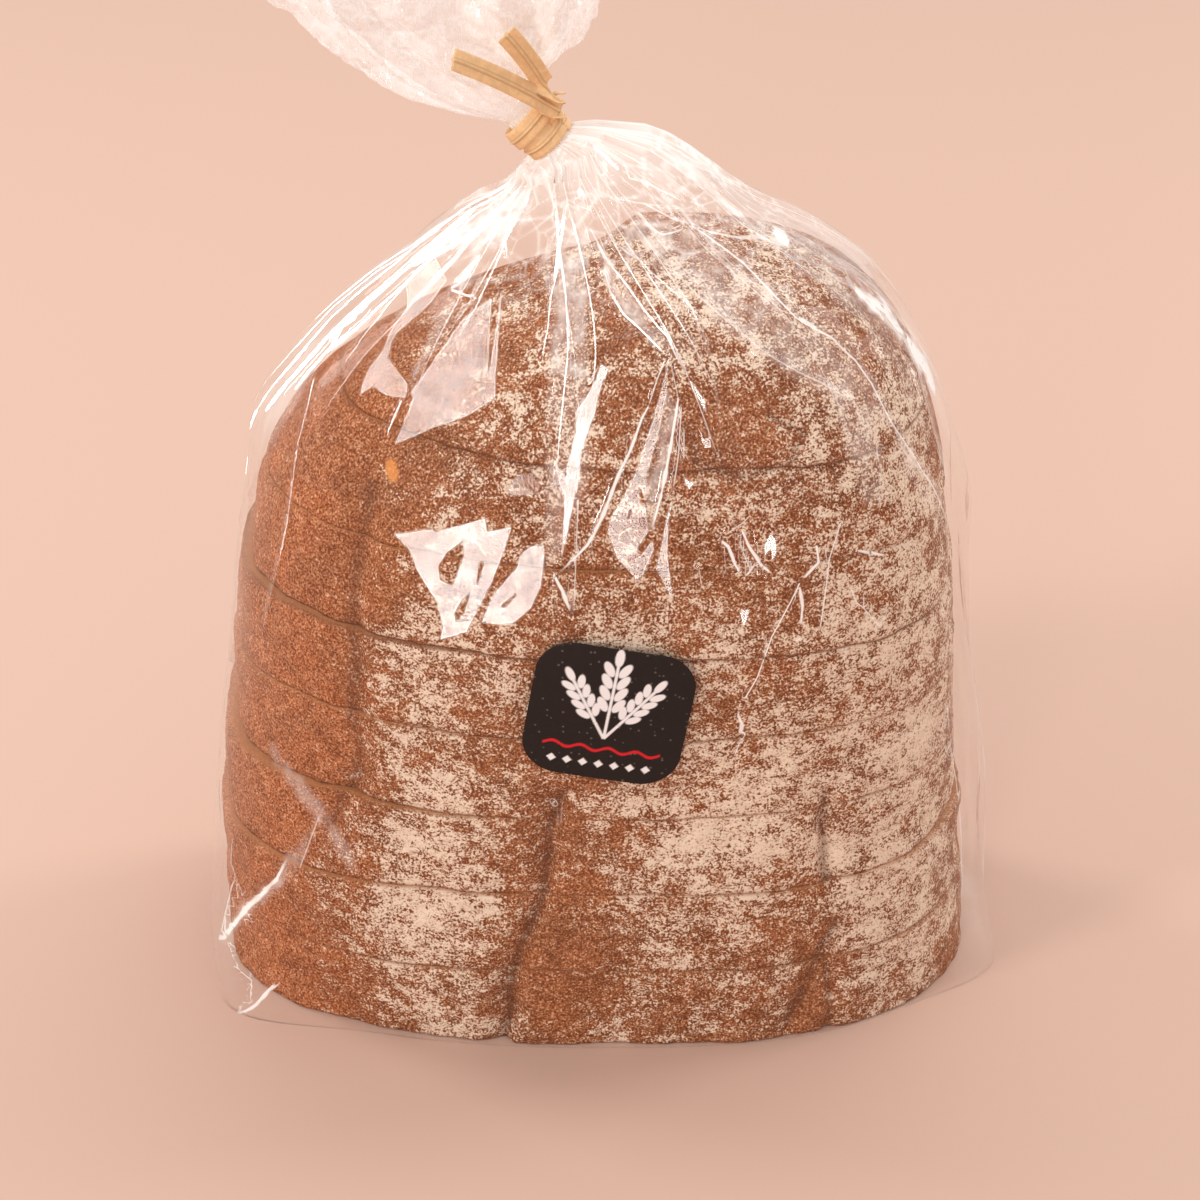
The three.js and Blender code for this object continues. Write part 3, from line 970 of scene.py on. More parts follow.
    def crust(self, angle: np.ndarray, z: np.ndarray, index: int) -> tuple[np.ndarray, Marks]:
        """Points and marks of the crust of one slice.

        Args:
            angle: Angles by row and column.
            z: Heights by row and column.
            index: The slice's number from the bottom.

        Returns:
            Points, and the marks flour, shade and warm.
        """
        plain = self.shape.bread(angle, z, np.zeros(z.shape))
        front = smooth(np.cos(angle), -0.15, 0.25)
        own = plain + np.array([0.0, 0.0, index * self.own_pattern])
        relief = self.swell.over(plain) + self.lumps.over(own) + self.grit.over(own)
        depth, painted_darkness = self.groove_depth(plain[..., 0] + self.groove_wander.over(plain), z, front)
        offset = self.offsets[index]
        s, c = np.sin(angle), np.cos(angle)
        middle = (index + 0.5) * self.thickness
        upright = self.shape.taper_left * (z - middle) * (index < len(self.offsets) - 2)
        proud = (offset.left + upright) * np.clip(-s, 0, 1) ** 2 + offset.right * np.clip(s, 0, 1) ** 2
        proud = (proud + offset.front * np.clip(c, 0, 1) ** 2) * smooth(z, 166, 150)
        proud = proud + self.wander.over(own, index * 3.3)
        points = self.shape.bread(angle, z, proud + np.minimum(relief, self.most_relief) - depth)
        flour = self.even_flour + sum(patch.at(plain[..., 0], z) for patch in self.dusted)
        faces = smooth(np.cos(angle) + self.side_edge.over(own), -0.5, 0.4)
        flour = mix(self.side_flour, flour, faces) + self.broad_flour.over(plain)
        flour = flour + self.fine_flour.over(own) + self.crown_flour * smooth(z, 152, 162)
        warm = smooth(-plain[..., 0], 34, 60) + 0.35 * (1 - front)
        return points, {"flour": np.clip(flour, 0, 1), "shade": painted_darkness, "warm": np.clip(warm, 0, 1)}

    def waver(self, points: np.ndarray, index: int) -> np.ndarray:
        """How far the cut under slice `index` wanders up and down, in millimetres."""
        return self.cut_waver.over(points * np.array([1.0, 1.0, 0.0]), 7.0 * index)

    def finish_rows(
        self, index: int, rows: np.ndarray, share: np.ndarray, finish: bpy.types.Material,
        name: str, top: float,
    ) -> bpy.types.Object:
        """Turn rows of heights and shares into one piece of bread.

        Args:
            index: The piece's number from the bottom.
            rows: The height of each row.
            share: How far out each row is, 0 at the middle and 1 on the crust.
            finish: The bread's material.
            name: The piece's name.
            top: The height of its upper cut, or NO_CUT.

        Returns:
            The piece.
        """
        low = index * self.thickness
        angle, out = np.meshgrid(self.columns_round(), share)
        z = np.broadcast_to(rows[:, None], angle.shape).copy()
        flat = self.shape.bread(angle, z, np.zeros(z.shape))
        rise = smooth(top - z, 6, 0) * self.waver(flat, index + 1) * (top < NO_CUT)
        fall = smooth(z - low, 6, 0) * self.waver(flat, index) * (index > 0)
        z = z + rise + fall
        points, marks = self.crust(angle, z, index)
        torn = 0.5 + self.torn.over(points, index)
        under, over = self.seams[index], self.seams[min(index + 1, len(self.seams) - 1)]
        to_low, to_top = z - low - fall, top - z + rise
        near_low, near_top = np.exp(-to_low / self.inset_fall), np.exp(-to_top / self.inset_fall)
        inset = (self.inset + self.open_inset * under) * near_low
        inset = (inset + (self.inset + self.open_inset * over) * near_top) * np.clip(0.4 + torn, 0.2, 1.6)
        radius = np.maximum(np.hypot(points[..., 0], points[..., 1]), 1e-3)
        points[..., :2] *= (1 - inset / radius)[..., None]
        points[..., :2] *= out[..., None]
        marks["cut"] = np.where(out < 0.985, 1.0, 0.0)
        rim = (0.3 + 0.4 * under) * bump(to_low, 0.0, 0.4) + (0.3 + 0.4 * over) * bump(to_top, 0.0, 0.3)
        marks["rim"] = np.clip(rim * (0.5 + torn), 0, 1)
        # Painted shade along the cuts between slices, stronger where a cut is more open.
        painted_darkness = 0.5 * under**2 * bump(to_low, 0.0, self.line_fall)
        painted_darkness = painted_darkness + 0.4 * over**2 * bump(to_top, 0.0, self.line_fall)
        marks["shade"] = np.maximum(marks["shade"], np.clip(painted_darkness, 0, 1))
        gold = self.tear.at(points[..., 0], z) * (np.cos(angle) > 0)
        marks["gold"] = 0.8 * smooth(gold + 0.3 * (torn - 0.5), 0.35, 0.6)
        piece = piece_from_lattice(name, points, marks, Form.SOLID)
        piece.data.materials.append(finish)
        declare(piece, "bag")
        return piece

    def build_slice(self, index: int, finish: bpy.types.Material) -> bpy.types.Object:
        """Make one slice.

        Args:
            index: The slice's number from the bottom.
            finish: The bread's material.

        Returns:
            The slice.
        """
        low, high = index * self.thickness, (index + 1) * self.thickness
        foot = 0.35 if index == 0 else self.gap
        caps = np.array([0.0, 0.3, 0.6, 0.82, 0.93, 0.975])
        walls = np.linspace(low + foot, high - self.gap, self.side_rows)
        rows = np.concatenate([np.full(len(caps), walls[0]), walls, np.full(len(caps), walls[-1])])
        share = np.concatenate([caps, np.ones(self.side_rows), caps[::-1]])
        return self.finish_rows(index, rows, share, finish, f"slice_{index + 1}", high)

    def build_end(self, finish: bpy.types.Material) -> bpy.types.Object:
        """Make the rounded end of the loaf on top.

        Args:
            finish: The bread's material.

        Returns:
            The end piece.
        """
        index = len(self.offsets) - 1
        low = index * self.thickness + self.gap
        half = self.end_rows // 2
        walls = np.linspace(low, self.crown, half, endpoint=False)
        steep, fall = self.shape.dome_right, self.shape.fall_right
        domed = np.linspace((1 - (self.crown / self.shape.top) ** steep) ** fall, 0.0, half)
        crown = self.shape.top * (1 - domed ** (1 / fall)) ** (1 / steep)
        caps = np.array([0.0, 0.4, 0.8, 0.96])
        rows = np.concatenate([np.full(len(caps), low), walls, crown])
        share = np.concatenate([caps, np.ones(self.end_rows)])
        return self.finish_rows(index, rows, share, finish, "end_piece", NO_CUT)

    def build(self) -> None:
        """Make and dress every slice and the end piece."""
        finish = CrustFinish().material()
        for index in range(len(self.offsets) - 1):
            self.build_slice(index, finish)
        self.build_end(finish)


@dataclass(frozen=True)
class Station:
    """A ring of the gathered film: centre, tilt to the left in degrees, half width and half depth."""

    x: float
    y: float
    z: float
    tilt: float
    wide: float
    deep: float


@dataclass(frozen=True)
class Facet:
    """A flat plane that the film is pulled into, which mirrors a lamp.

    Turn and rise give the way that it faces, in degrees, glare is how much more it mirrors than the rest, and
    holes are outlines inside it that don't mirror.
    """

    outline: Path
    turn: float
    rise: float
    glare: float = 0.0
    holes: tuple[Path, ...] = ()


@dataclass(frozen=True)
class Veil:
    """An area where the film lies folded on itself and looks milky."""

    outline: Path
    milk: float


@dataclass(frozen=True)
class Panel:
    """One sheet of the bag's body.

    Start and end are its turn round the bag in degrees, heights and rows are its walls', base says that it
    closes the bag's base, and gathers is how many rows it has in the neck.
    """

    name: str
    start: float
    end: float
    columns: int
    heights: tuple[float, float]
    rows: int
    base: bool
    gathers: int


# The folds and planes of the film were read off the front view, as places (x, z) in millimetres.
FACETS = (
    Facet(((-19.5, 158.5), (-20, 148), (-19.5, 149.5), (-17.5, 159.5), (-18.5, 148.5), (-18.5, 145),
        (-24, 141.5), (-30.5, 138.5), (-37.5, 134.5), (-34, 142), (-34.5, 143), (-29.5, 149),
        (-24.5, 155)), -24, 36, -0.2),
    Facet(((-30, 160.5), (-28, 159), (-31, 155.5), (-37.5, 150), (-38.5, 148.5), (-39, 146.5), (-40, 147),
        (-38.5, 150), (-35.5, 153.5), (-35, 156), (-32.5, 158)), -23, 35, -0.35),
    Facet(((-40, 147), (-39, 146.5), (-35, 144), (-35.5, 142), (-39.5, 141.5), (-42, 142), (-44.5, 140),
        (-44, 141.5), (-42.5, 144)), -23, 35, -0.25),
    Facet(((-21.5, 163.5), (-23, 161.5), (-24.25, 160), (-27.25, 158), (-26.5, 159.5)), -23, 35, -0.2),
    Facet(((-38, 118.5), (-30.5, 121), (-30, 120.5), (-26.5, 122), (-20.5, 124.5), (-20, 122),
        (-15.5, 123.5), (-16.5, 120), (-19.5, 112), (-22, 106.5), (-24.5, 101), (-29.5, 98.5), (-29, 101.5),
        (-30, 106.5), (-33.5, 112), (-35, 116)), -6, 20, 0.15, (((-24.75, 119.5), (-24.5, 117),
        (-25.75, 113.5), (-26.75, 110.5), (-29.25, 111), (-29.5, 114), (-27.75, 117)), ((-25, 108),
        (-23.5, 109.5), (-24.75, 105), (-26.25, 103), (-26.75, 104.5)), ((-21.75, 116), (-20.75, 116),
        (-21.5, 113), (-22.5, 110.5)),)),
    Facet(((-9.5, 120.5), (-12, 120), (-14, 118), (-14.5, 116), (-19.5, 109), (-21.5, 103.5), (-18.5, 103.5),
        (-15.5, 104), (-12, 107.5), (-10, 112.5), (-9.5, 118)), -7, 20, 0.1, (((-14.5, 110), (-15.25, 110),
        (-17.75, 107.5), (-17.25, 107)),)),
    Facet(((1.25, 151.5), (2.75, 151), (1.25, 148.5), (0, 144), (-2.25, 138.5), (-3.5, 131.5), (-5, 123.5),
        (-6.25, 118), (-6.25, 118), (-5.5, 127.5), (-5, 135), (-3.25, 141.5), (-3.5, 144),
        (0, 148.5)), -8, 18, 0.25),
    Facet(((-7.25, 135.5), (-5.5, 133), (-5, 131), (-3.25, 129.5), (-5.25, 130),
        (-6.25, 131.5)), -8, 18, -0.2),
    Facet(((13.5, 152.5), (13.25, 147.5), (11.5, 140), (9.5, 133.5), (9.25, 129), (10, 123.5), (8.25, 121),
        (8, 119.5), (8.75, 119), (10.75, 122), (11, 120), (9.25, 115.5), (8, 114), (4.25, 118.5),
        (2.5, 123.5), (3.25, 126.5), (4.5, 128.5), (7.5, 134), (9.5, 139.5),
        (13, 150)), -9, 19, -0.25, (((8, 132), (8.75, 131.5), (9.25, 129.5), (9, 127.5), (8.5, 128.5)),
        ((6.5, 128), (7, 127.5), (6.5, 126), (5.75, 125.5)),)),
    Facet(((14.5, 130), (13.75, 125.5), (13.5, 119.5), (14.25, 113), (14.75, 109.5), (13.25, 113),
        (11.5, 116.5), (12.25, 119.5), (13.25, 125.5)), -9, 20, -0.2),
    Facet(((17.75, 149.5), (19, 148), (20.25, 146.5), (20.5, 144.5), (19, 147), (18, 149)), -8, 19, 0.3),
    Facet(((16.25, 134), (17.25, 133), (18.5, 132.5), (17.5, 131.5)), -8, 19, 0.3),
    Facet(((32.75, 122.5), (33.75, 121.5), (34, 119), (33.25, 117), (33, 120), (32, 118.5), (31.75, 117),
        (31.75, 120.5)), -11, 20, 0.3),
    Facet(((27.25, 107.5), (29.25, 107.5), (28.25, 104)), -12, 20, 0.3),
    Facet(((-4.25, 173), (-2, 174.75), (-1, 172.5)), -15, 30, 0.6),
    Facet(((-3, 181), (-0.75, 182), (1.25, 180), (-0.75, 180.25)), -15, 30, 0.8),
    Facet(((-0.25, 169.25), (1, 168.75), (2.75, 165.5), (4.25, 164.5), (1.75, 166)), -15, 30, 0.6),
    Facet(((1.75, 164), (2.5, 164), (3, 161.5), (2.25, 162.5)), -15, 30, 0.6),
    Facet(((18, 173.5), (20, 173.75), (22.25, 172), (19.5, 172.75)), -15, 30, 0.6),
    Facet(((9.5, 174), (15.25, 173.25), (18.5, 172.75), (13.75, 173)), -15, 30, 0.6),
    Facet(((54.5, 138.5), (58.5, 132), (63.5, 124), (58.25, 131.5)), -15, 30, 0.6),
    Facet(((-16.25, 169), (-14.25, 171.25), (-13.25, 170), (-15.25, 168.5)), -15, 30, 0.4),
    Facet(((-9, 63.5), (-8.75, 62), (-7, 61), (-7.75, 63)), -8, 20, 0.5),
)
VEILS = (
    Veil(((-5.5, 172.5), (-1, 172.5), (-1.5, 164.5), (-1.5, 149.5), (-8.5, 149), (-8, 160),
        (-6.5, 166.5)), 0.3),
    Veil(((-1.5, 149.5), (-1.5, 139.5), (-0.5, 134.5), (-7, 117.5), (-9.5, 117), (-9, 139),
        (-8.5, 149)), 0.14),
    Veil(((-0.5, 169.5), (2.5, 165.5), (6, 162.5), (10, 158.5), (13.5, 155.5), (15, 153), (13.5, 153),
        (8, 157), (5.5, 158.5), (3, 161.5), (2, 164)), 0.24),
    Veil(((8.5, 172.5), (17.5, 170), (27.5, 164), (37, 156.5), (43.5, 153), (48, 149), (51, 145),
        (54.5, 138.5), (51, 136.5), (48, 135), (47, 139), (42.5, 146), (35.5, 150), (23, 157), (17, 162),
        (8.5, 168)), 0.17),
    Veil(((33, 152), (41, 147.5), (50.5, 141.5), (53.5, 135.5), (54, 125), (51, 126), (47.5, 134.5),
        (44, 144.5)), 0.13),
    Veil(((-18.5, 166), (-22, 162.5), (-26.5, 155.5), (-29.5, 151), (-34.5, 144), (-33.5, 147), (-28, 156.5),
        (-23, 163.5)), 0.22),
    Veil(((13.5, 147.5), (15.5, 144.5), (13.5, 135.5), (12, 128), (10.5, 124), (9.5, 132),
        (11, 135.5)), 0.28),
    Veil(((-23.5, 166.5), (-16.5, 170.5), (-11, 174.5), (-12.5, 170), (-17, 166), (-23.5, 163.5), (-30, 160),
        (-27.5, 163.5)), 0.62),
    Veil(((31.5, 166), (42.5, 160), (52.5, 153), (59.5, 145.5), (57.5, 148), (52, 153.5), (45, 158.5),
        (38.5, 162.5), (31, 166.5)), 0.3),
    Veil(((-80.5, 7), (-73, 22.5), (-65.5, 33), (-62.5, 40.5), (-61, 40), (-65, 31.5), (-72.5, 20.5),
        (-78.5, 10)), 0.3),
    Veil(((-62.5, 40), (-55.5, 51.5), (-60.5, 37), (-65, 31.5)), 0.1),
    Veil(((-66.5, 62.5), (-65, 64), (-59.5, 59), (-54.5, 54), (-50.5, 47), (-48, 40.5), (-49.5, 41),
        (-53, 46), (-57.5, 51.5), (-62, 56.5)), 0.16),
    Veil(((54.5, 137.5), (63, 124), (68.5, 113.5), (66.5, 114.5), (59, 128.5)), 0.16),
)
FOLDS = (
    Crease(((-5, 172), (-6.5, 164), (-8, 160), (-8.5, 156), (-10, 150.5)), 0.5, height=1.1, width=1.4),
    Crease(((-5.5, 172), (-7, 165), (-7.5, 161)), 0.3),
    Crease(((-0.5, 169.5), (2.5, 165.5), (6, 162.5), (10, 158.5), (13.5, 155.5), (15, 153),
        (17.5, 149.5)), 0.55, height=1.2, width=1.5),
    Crease(((2, 164), (3, 161.5), (5.5, 158.5), (8, 157), (13.5, 153)), 0.7, height=1, width=1.4),
    Crease(((1, 173), (4, 168), (10.5, 164.5), (18, 159.5), (22.5, 155.5)), 0.35, height=0.7, width=1.2),
    Crease(((5, 173.5), (10.5, 167.5), (19.5, 161), (30.5, 153.5), (41.5, 147.5),
        (50.5, 141.5)), 0.35, height=0.8, width=1.3),
    Crease(((4, 174.5), (9.5, 174), (14.5, 171.5), (20, 169.5), (31, 165.5), (37, 163)), 0.6),
    Crease(((17.5, 170), (27.5, 164), (32, 160.5), (37, 156.5), (43.5, 153), (48, 149), (51, 145),
        (54.5, 138.5), (59, 131.5), (63, 124.5), (68.5, 114)), 0.65, height=1.3, width=1.6),
    Crease(((8.5, 172.5), (10.5, 170.5), (12.5, 169.5), (17, 170)), 0.6),
    Crease(((1.5, 177.5), (4.5, 180.5), (5.5, 179.5), (6.5, 177.5), (8.5, 177), (14, 175),
        (17, 173.5)), 0.7),
    Crease(((-10, 177), (-5.5, 176.5), (-6.5, 179.5)), 0.6),
    Crease(((47.5, 157), (54, 151.5), (59, 146), (61.5, 141.5), (63.5, 135.5), (66, 127),
        (68.5, 118.5)), 0.3),
    Crease(((52.5, 135), (53.5, 129.5), (56, 123)), 0.3),
    Crease(((-3, 129.5), (-4, 106)), 0.5),
    Crease(((16, 145.5), (15.5, 137.5), (14.5, 131)), 0.6),
    Crease(((13, 152.5), (11.5, 149.5), (10, 145.5)), 0.6),
    Crease(((16.5, 141.5), (16.5, 136.5)), 0.6),
    Crease(((19.5, 116.5), (20, 113)), 0.45),
    Crease(((14, 152.5), (15, 148.5), (15.5, 146.5)), 0.4),
    Crease(((24.5, 123), (27.5, 125), (29, 126.5)), 0.6),
    Crease(((26.5, 123), (28, 118.5), (29.5, 115)), 0.6),
    Crease(((38.5, 112.5), (37, 109), (33.5, 101.5), (31, 92.5), (28, 86), (27.5, 84)), 0.9),
    Crease(((29, 78.5), (28, 77), (27, 73)), 0.7),
    Crease(((46, 123), (44, 116.5), (43.5, 110), (42.5, 100)), 0.75),
    Crease(((48.5, 109.5), (49.5, 106.5), (51, 105), (51, 108)), 0.6),
    Crease(((51, 105), (54.5, 100), (56.5, 104)), 0.6),
    Crease(((47, 97), (48, 96), (47.5, 94.5)), 0.5),
    Crease(((-36, 141.5), (-39, 135.5)), 0.5),
    Crease(((-27, 158), (-26.5, 158), (-24, 158), (-22, 158)), 0.5),
    Crease(((-12.5, 175.5), (-25.5, 165), (-37, 156), (-44, 150), (-51, 144), (-60, 134),
        (-66.5, 125.5)), 0.6, height=1.1, width=1.5),
    Crease(((-18, 168.5), (-30, 160), (-41, 151), (-51.5, 142), (-60, 132.5)), 0.4, height=0.8, width=1.3),
    Crease(((-14, 172), (-23.5, 164), (-31.5, 156.5)), 0.35),
    Crease(((-15, 169), (-16.5, 166.5), (-16.5, 163.5)), 0.3),
    Crease(((-54, 138), (-57, 128), (-59.5, 113), (-67, 83.5)), 0.13),
    Crease(((-80.5, 7), (-73, 22.5), (-65.5, 33), (-62.5, 40)), 0.6),
    Crease(((-80.5, 7), (-76, 24.5), (-75, 27.5)), 0.5),
    Crease(((-73, 22.5), (-76, 29.5), (-75.5, 36)), 0.4),
    Crease(((-55.5, 51.5), (-60.5, 37)), 0.4),
    Crease(((-78, 9.5), (-75.5, 7.5), (-72, 7), (-72.5, 3)), 0.5),
    Crease(((-75.5, 0), (-71, 3), (-65.5, 9)), 0.7),
    Crease(((-9, 87), (-5.5, 72.5), (-7, 55)), 0.25),
    Crease(((70, 73.5), (75, 44.5), (77.5, 17.5)), 0.4),
    Crease(((-43, 151), (-46.5, 148), (-48.75, 146), (-50, 144), (-50.75, 142.5)), 0.9, 0.38, BRIGHT_HEIGHT),
    Crease(((-26.5, 164), (-30.5, 161), (-34.75, 157.5)), 0.85, 0.3, BRIGHT_HEIGHT),
    Crease(((49.25, 155.5), (55.25, 150.5), (59.5, 145.5)), 0.9, 0.35, BRIGHT_HEIGHT),
    Crease(((59.5, 145.5), (60.5, 144), (63.75, 139), (66, 134.5)), 0.95, 0.4, BRIGHT_HEIGHT),
    Crease(((10, 145.5), (8.75, 143.5), (6.75, 138.5), (4.25, 133.5), (1.75, 127), (-1.25, 121),
        (-7.25, 114.5)), 0.9, 0.38, BRIGHT_HEIGHT),
    Crease(((15.5, 147), (14.25, 140), (12.5, 131), (10.5, 123.5)), 0.9, 0.36, BRIGHT_HEIGHT),
    Crease(((-7.75, 115), (-6, 111.5), (-4.25, 106.5)), 0.9, 0.42, BRIGHT_HEIGHT),
    Crease(((23.25, 122), (25, 120.5), (26.25, 117), (27.75, 114.5)), 0.9, 0.4, BRIGHT_HEIGHT),
    Crease(((27.5, 123.5), (28.75, 120.5), (31.25, 116.5), (33.5, 114.5)), 0.9, 0.42, BRIGHT_HEIGHT),
    Crease(((30, 117), (28.25, 114.5)), 0.8, 0.3, BRIGHT_HEIGHT),
    Crease(((41.5, 119.5), (42, 116), (41, 115), (39, 113)), 0.9, 0.36, BRIGHT_HEIGHT),
    Crease(((38.5, 111.5), (39.25, 107.5), (39, 103)), 0.9, 0.4, BRIGHT_HEIGHT),
    Crease(((49.5, 117), (53, 115.5), (55.25, 114.5)), 0.8, 0.4, BRIGHT_HEIGHT),
    Crease(((27.5, 84), (28.5, 81.5), (28, 78.5)), 0.9, 0.4, BRIGHT_HEIGHT),
    Crease(((38, 100), (39.5, 100.5)), 0.7, 0.35, BRIGHT_HEIGHT),
    Crease(((-79.75, 8), (-72.25, 22.5), (-65.5, 33), (-62.75, 39.5)), 0.75, 0.4, BRIGHT_HEIGHT),
    Crease(((-75.25, 0), (-71.25, 3), (-66.25, 9)), 0.7, 0.35, BRIGHT_HEIGHT),
    Crease(((33.75, 165), (35.75, 164), (37, 163)), 0.9, 0.35, BRIGHT_HEIGHT),
    Crease(((37.75, 156.5), (41.25, 154.5)), 0.7, 0.35, BRIGHT_HEIGHT),
)


@dataclass(frozen=True)
class GatheredNeck:
    """The neck and the ruffle as a row of stations."""

    stations: tuple[Station, ...] = (
        Station(-5.2, 2.5, 178.2, 24, 9.5, 8.5),
        Station(-7.1, 3.0, 179.6, 36, 5.4, 5.2),
        Station(-8.0, 3.0, 180.4, 42, 4.0, 4.0),
        Station(-14.0, 3.0, 187.1, 42, 4.0, 4.0),
        Station(-15.3, 3.2, 188.7, 37, 5.6, 5.0),
        Station(-17.6, 4.0, 191.3, 26, 10.5, 7.5),
        Station(-20.2, 4.6, 196.0, 17, 17.5, 10.0),
        Station(-23.6, 5.2, 202.0, 12, 23.5, 12.5),
        Station(-26.4, 6.0, 211.0, 9, 29.6, 15.5),
        Station(-28.8, 7.0, 222.0, 7, 35.8, 18.5),
        Station(-31.5, 8.0, 234.0, 6, 40.8, 21.0),
    )
    tie_foot: int = 2

    def at(self, place: np.ndarray) -> Marks:
        """Sizes of the rings at places between the stations.

        Args:
            place: Station numbers, which may lie between two.

        Returns:
            The station's fields by name.
        """
        numbers = np.arange(len(self.stations))
        keys = ("x", "y", "z", "tilt", "wide", "deep")
        return {key: np.interp(place, numbers, [getattr(s, key) for s in self.stations]) for key in keys}

    def ring(self, angle: np.ndarray, place: np.ndarray) -> np.ndarray:
        """Plain points of the gathered film.

        Args:
            angle: Angles round the neck.
            place: Station numbers.

        Returns:
            Points, last axis x, y, z.
        """
        r = self.at(place)
        tilt = np.radians(r["tilt"])
        across = r["wide"] * np.sin(angle)
        x, z = r["x"] + across * np.cos(tilt), r["z"] + across * np.sin(tilt)
        return np.stack([x, r["y"] - r["deep"] * np.cos(angle), z], -1)


@dataclass
class Bag:
    """The film over the bread in four panels, and the ruffle above the tie."""

    shape: LoafShape
    neck: GatheredNeck
    clearance: float = 2.1
    dome_top: float = 183.0
    dome_last: float = 176.0
    panels: tuple[Panel, ...] = (
        Panel("film_front_low", -104, 104, 260, (1.2, 88.0), 84, True, 0),
        Panel("film_front_middle", -104, 104, 560, (88.0, 132.0), 112, False, 0),
        Panel("film_front_top", -104, 104, 600, (132.0, 176.0), 124, False, 16),
        Panel("film_back", 104, 256, 150, (1.2, 176.0), 100, True, 10),
    )
    facets: tuple[Facet, ...] = FACETS
    veils: tuple[Veil, ...] = VEILS
    folds: tuple[Crease, ...] = FOLDS
    dull: tuple[Patch, ...] = (
        Patch(-6, 131, 11, 16, 1.0),
        Patch(-48, 141, 12, 14, 1.0),
        Patch(60, 148, 12, 16, 0.9),
    )
    side_lines: tuple[tuple[float, float, float, float], ...] = (
        (-101, 96, 180, 0.5), (-96, 118, 180, 0.6), (-91, 104, 180, 0.5), (-85, 132, 180, 0.35),
        (-94, 14, 96, 0.45), (84, 126, 180, 0.5), (89, 100, 180, 0.75), (95, 112, 180, 0.6),
        (101, 92, 180, 0.6), (97, 6, 84, 0.6), (88, 10, 70, 0.5), (-90, 52, 120, 0.4),
    )
    crease_turn: float = -24.0
    crease_rise: float = 36.0
    pleat_seed: int = 11
    pleat_count: int = 46
    corners: Path = ((-66.0, 8.5), (76.0, 6.5), (124.0, 6.0), (-124.0, 6.0))
    floor_gap: float = 0.12
    pleat_white: float = 0.42
    plane_reach: float = -0.3
    label_place: tuple[float, float] = (2.6, 84.0)
    label_reach: tuple[float, float] = (21.0, 27.0)
    swell: Layer = Layer(24.0, 2, 4.0, 0.35)
    streaks: Layer = Layer(6.0, 3, 23.0)
    cloud: Layer = Layer(9.0, 3, 17.0, 0.6)
    ragged_plane: Layer = Layer(1.6, 2, 51.0, 0.09)
    ragged_line: Layer = Layer(2.6, 2, 71.0, 0.8)
    glare_cloud: Layer = Layer(5.0, 3, 81.0, 0.3)
    veil_streaks: Layer = Layer(2.6, 3, 61.0, 0.8)
    veil_cloud: Layer = Layer(8.0, 2, 13.0, 0.5)
    ruffle_columns: int = 600
    ruffle_rows: int = 150
    ruffle_cloud: Layer = Layer(5.0, 3, 3.0)

    def loose(self, angle: np.ndarray, z: np.ndarray) -> np.ndarray:
        """Extra reach of the film: side folds, shoulders and pulled-out bottom corners.

        Args:
            angle: Angles round the bag.
            z: Heights.

        Returns:
            Reach in millimetres.
        """
        turn = np.degrees(angle)
        turn = (turn + 180.0) % 360.0 - 180.0
        low = 1 - smooth(z, 30, 90)
        sides = 5.5 * bump(turn, 96, 20) * low + 2.6 * bump(turn, -88, 30) * low
        ears = sum(reach * bump(turn, at, 9) for at, reach in self.corners)
        foot = np.clip(1 - z / 16.0, 0, 1) ** 1.5
        shoulder = 2.4 * bump(turn, -92, 16) * bump(z, 124, 9) + 1.6 * bump(turn, 84, 14) * bump(z, 112, 9)
        return sides + ears * foot + shoulder

    def body(self, angle: np.ndarray, z: np.ndarray, spread: np.ndarray) -> np.ndarray:
        """Plain points of the film over the loaf.

        Args:
            angle: Angles round the bag.
            z: Heights.
            spread: 1 on the walls, less on the base towards its middle.

        Returns:
            Points, last axis x, y, z.
        """
        s, c = np.sin(angle), np.cos(angle)
        share = (1 - np.clip(z / self.dome_top, 0, 1) ** 8) ** mix(1.95, 1.15, (1 + s) / 2)
        share = np.hypot(share, 0.1 * smooth(z, 160, self.dome_last))
        side, depth, power = self.shape.axes(angle, z)
        side, depth = (side + self.clearance) * share, (depth + self.clearance) * share
        reach = (np.abs(s / side) ** power + np.abs(c / depth) ** power) ** (-1 / power)
        reach = (reach + self.loose(angle, z)) * spread
        lean = smooth(z, 150, 180)
        tilt = math.radians(20) * smooth(z, 166, 179)
        across = reach * s
        first = self.neck.stations[0]
        x = self.shape.crest * share + lean * (first.x - self.shape.crest * 0.3) + across * np.cos(tilt)
        return np.stack([x, lean * first.y - reach * c, z + across * np.sin(tilt)], -1)

    def pleats(
        self, angle: np.ndarray, height: np.ndarray, radius: np.ndarray
    ) -> tuple[np.ndarray, np.ndarray, np.ndarray]:
        """Radial folds that run down from the neck.

        Args:
            angle: Angles round the bag.
            height: 0 where the folds fade out, 1 at the neck.
            radius: Distances from the neck's middle.

        Returns:
            Heights in millimetres, signed distances to the nearest fold and its white, part painted
            highlight.
        """
        random = np.random.default_rng(self.pleat_seed)
        total, white, line = np.zeros(angle.shape), np.zeros(angle.shape), np.full(angle.shape, FAR)
        for _ in range(self.pleat_count):
            at, width = random.uniform(-math.pi, math.pi), math.radians(random.uniform(2.0, 7.0))
            start, tall = random.uniform(0.0, 0.65), random.uniform(0.3, 1.5)
            bend = random.uniform(-0.25, 0.25)
            away = (angle - at - bend * (1 - height) + math.pi) % (2 * math.pi) - math.pi
            wide = width * (1.25 - 0.5 * height)
            fade = smooth(height, start, start + 0.35)
            total = np.maximum(total, tall * np.clip(1 - np.abs(away) / wide, 0, 1) * fade)
            nearer = np.abs(away * radius) < np.abs(line)
            line = np.where(nearer, away * radius, line)
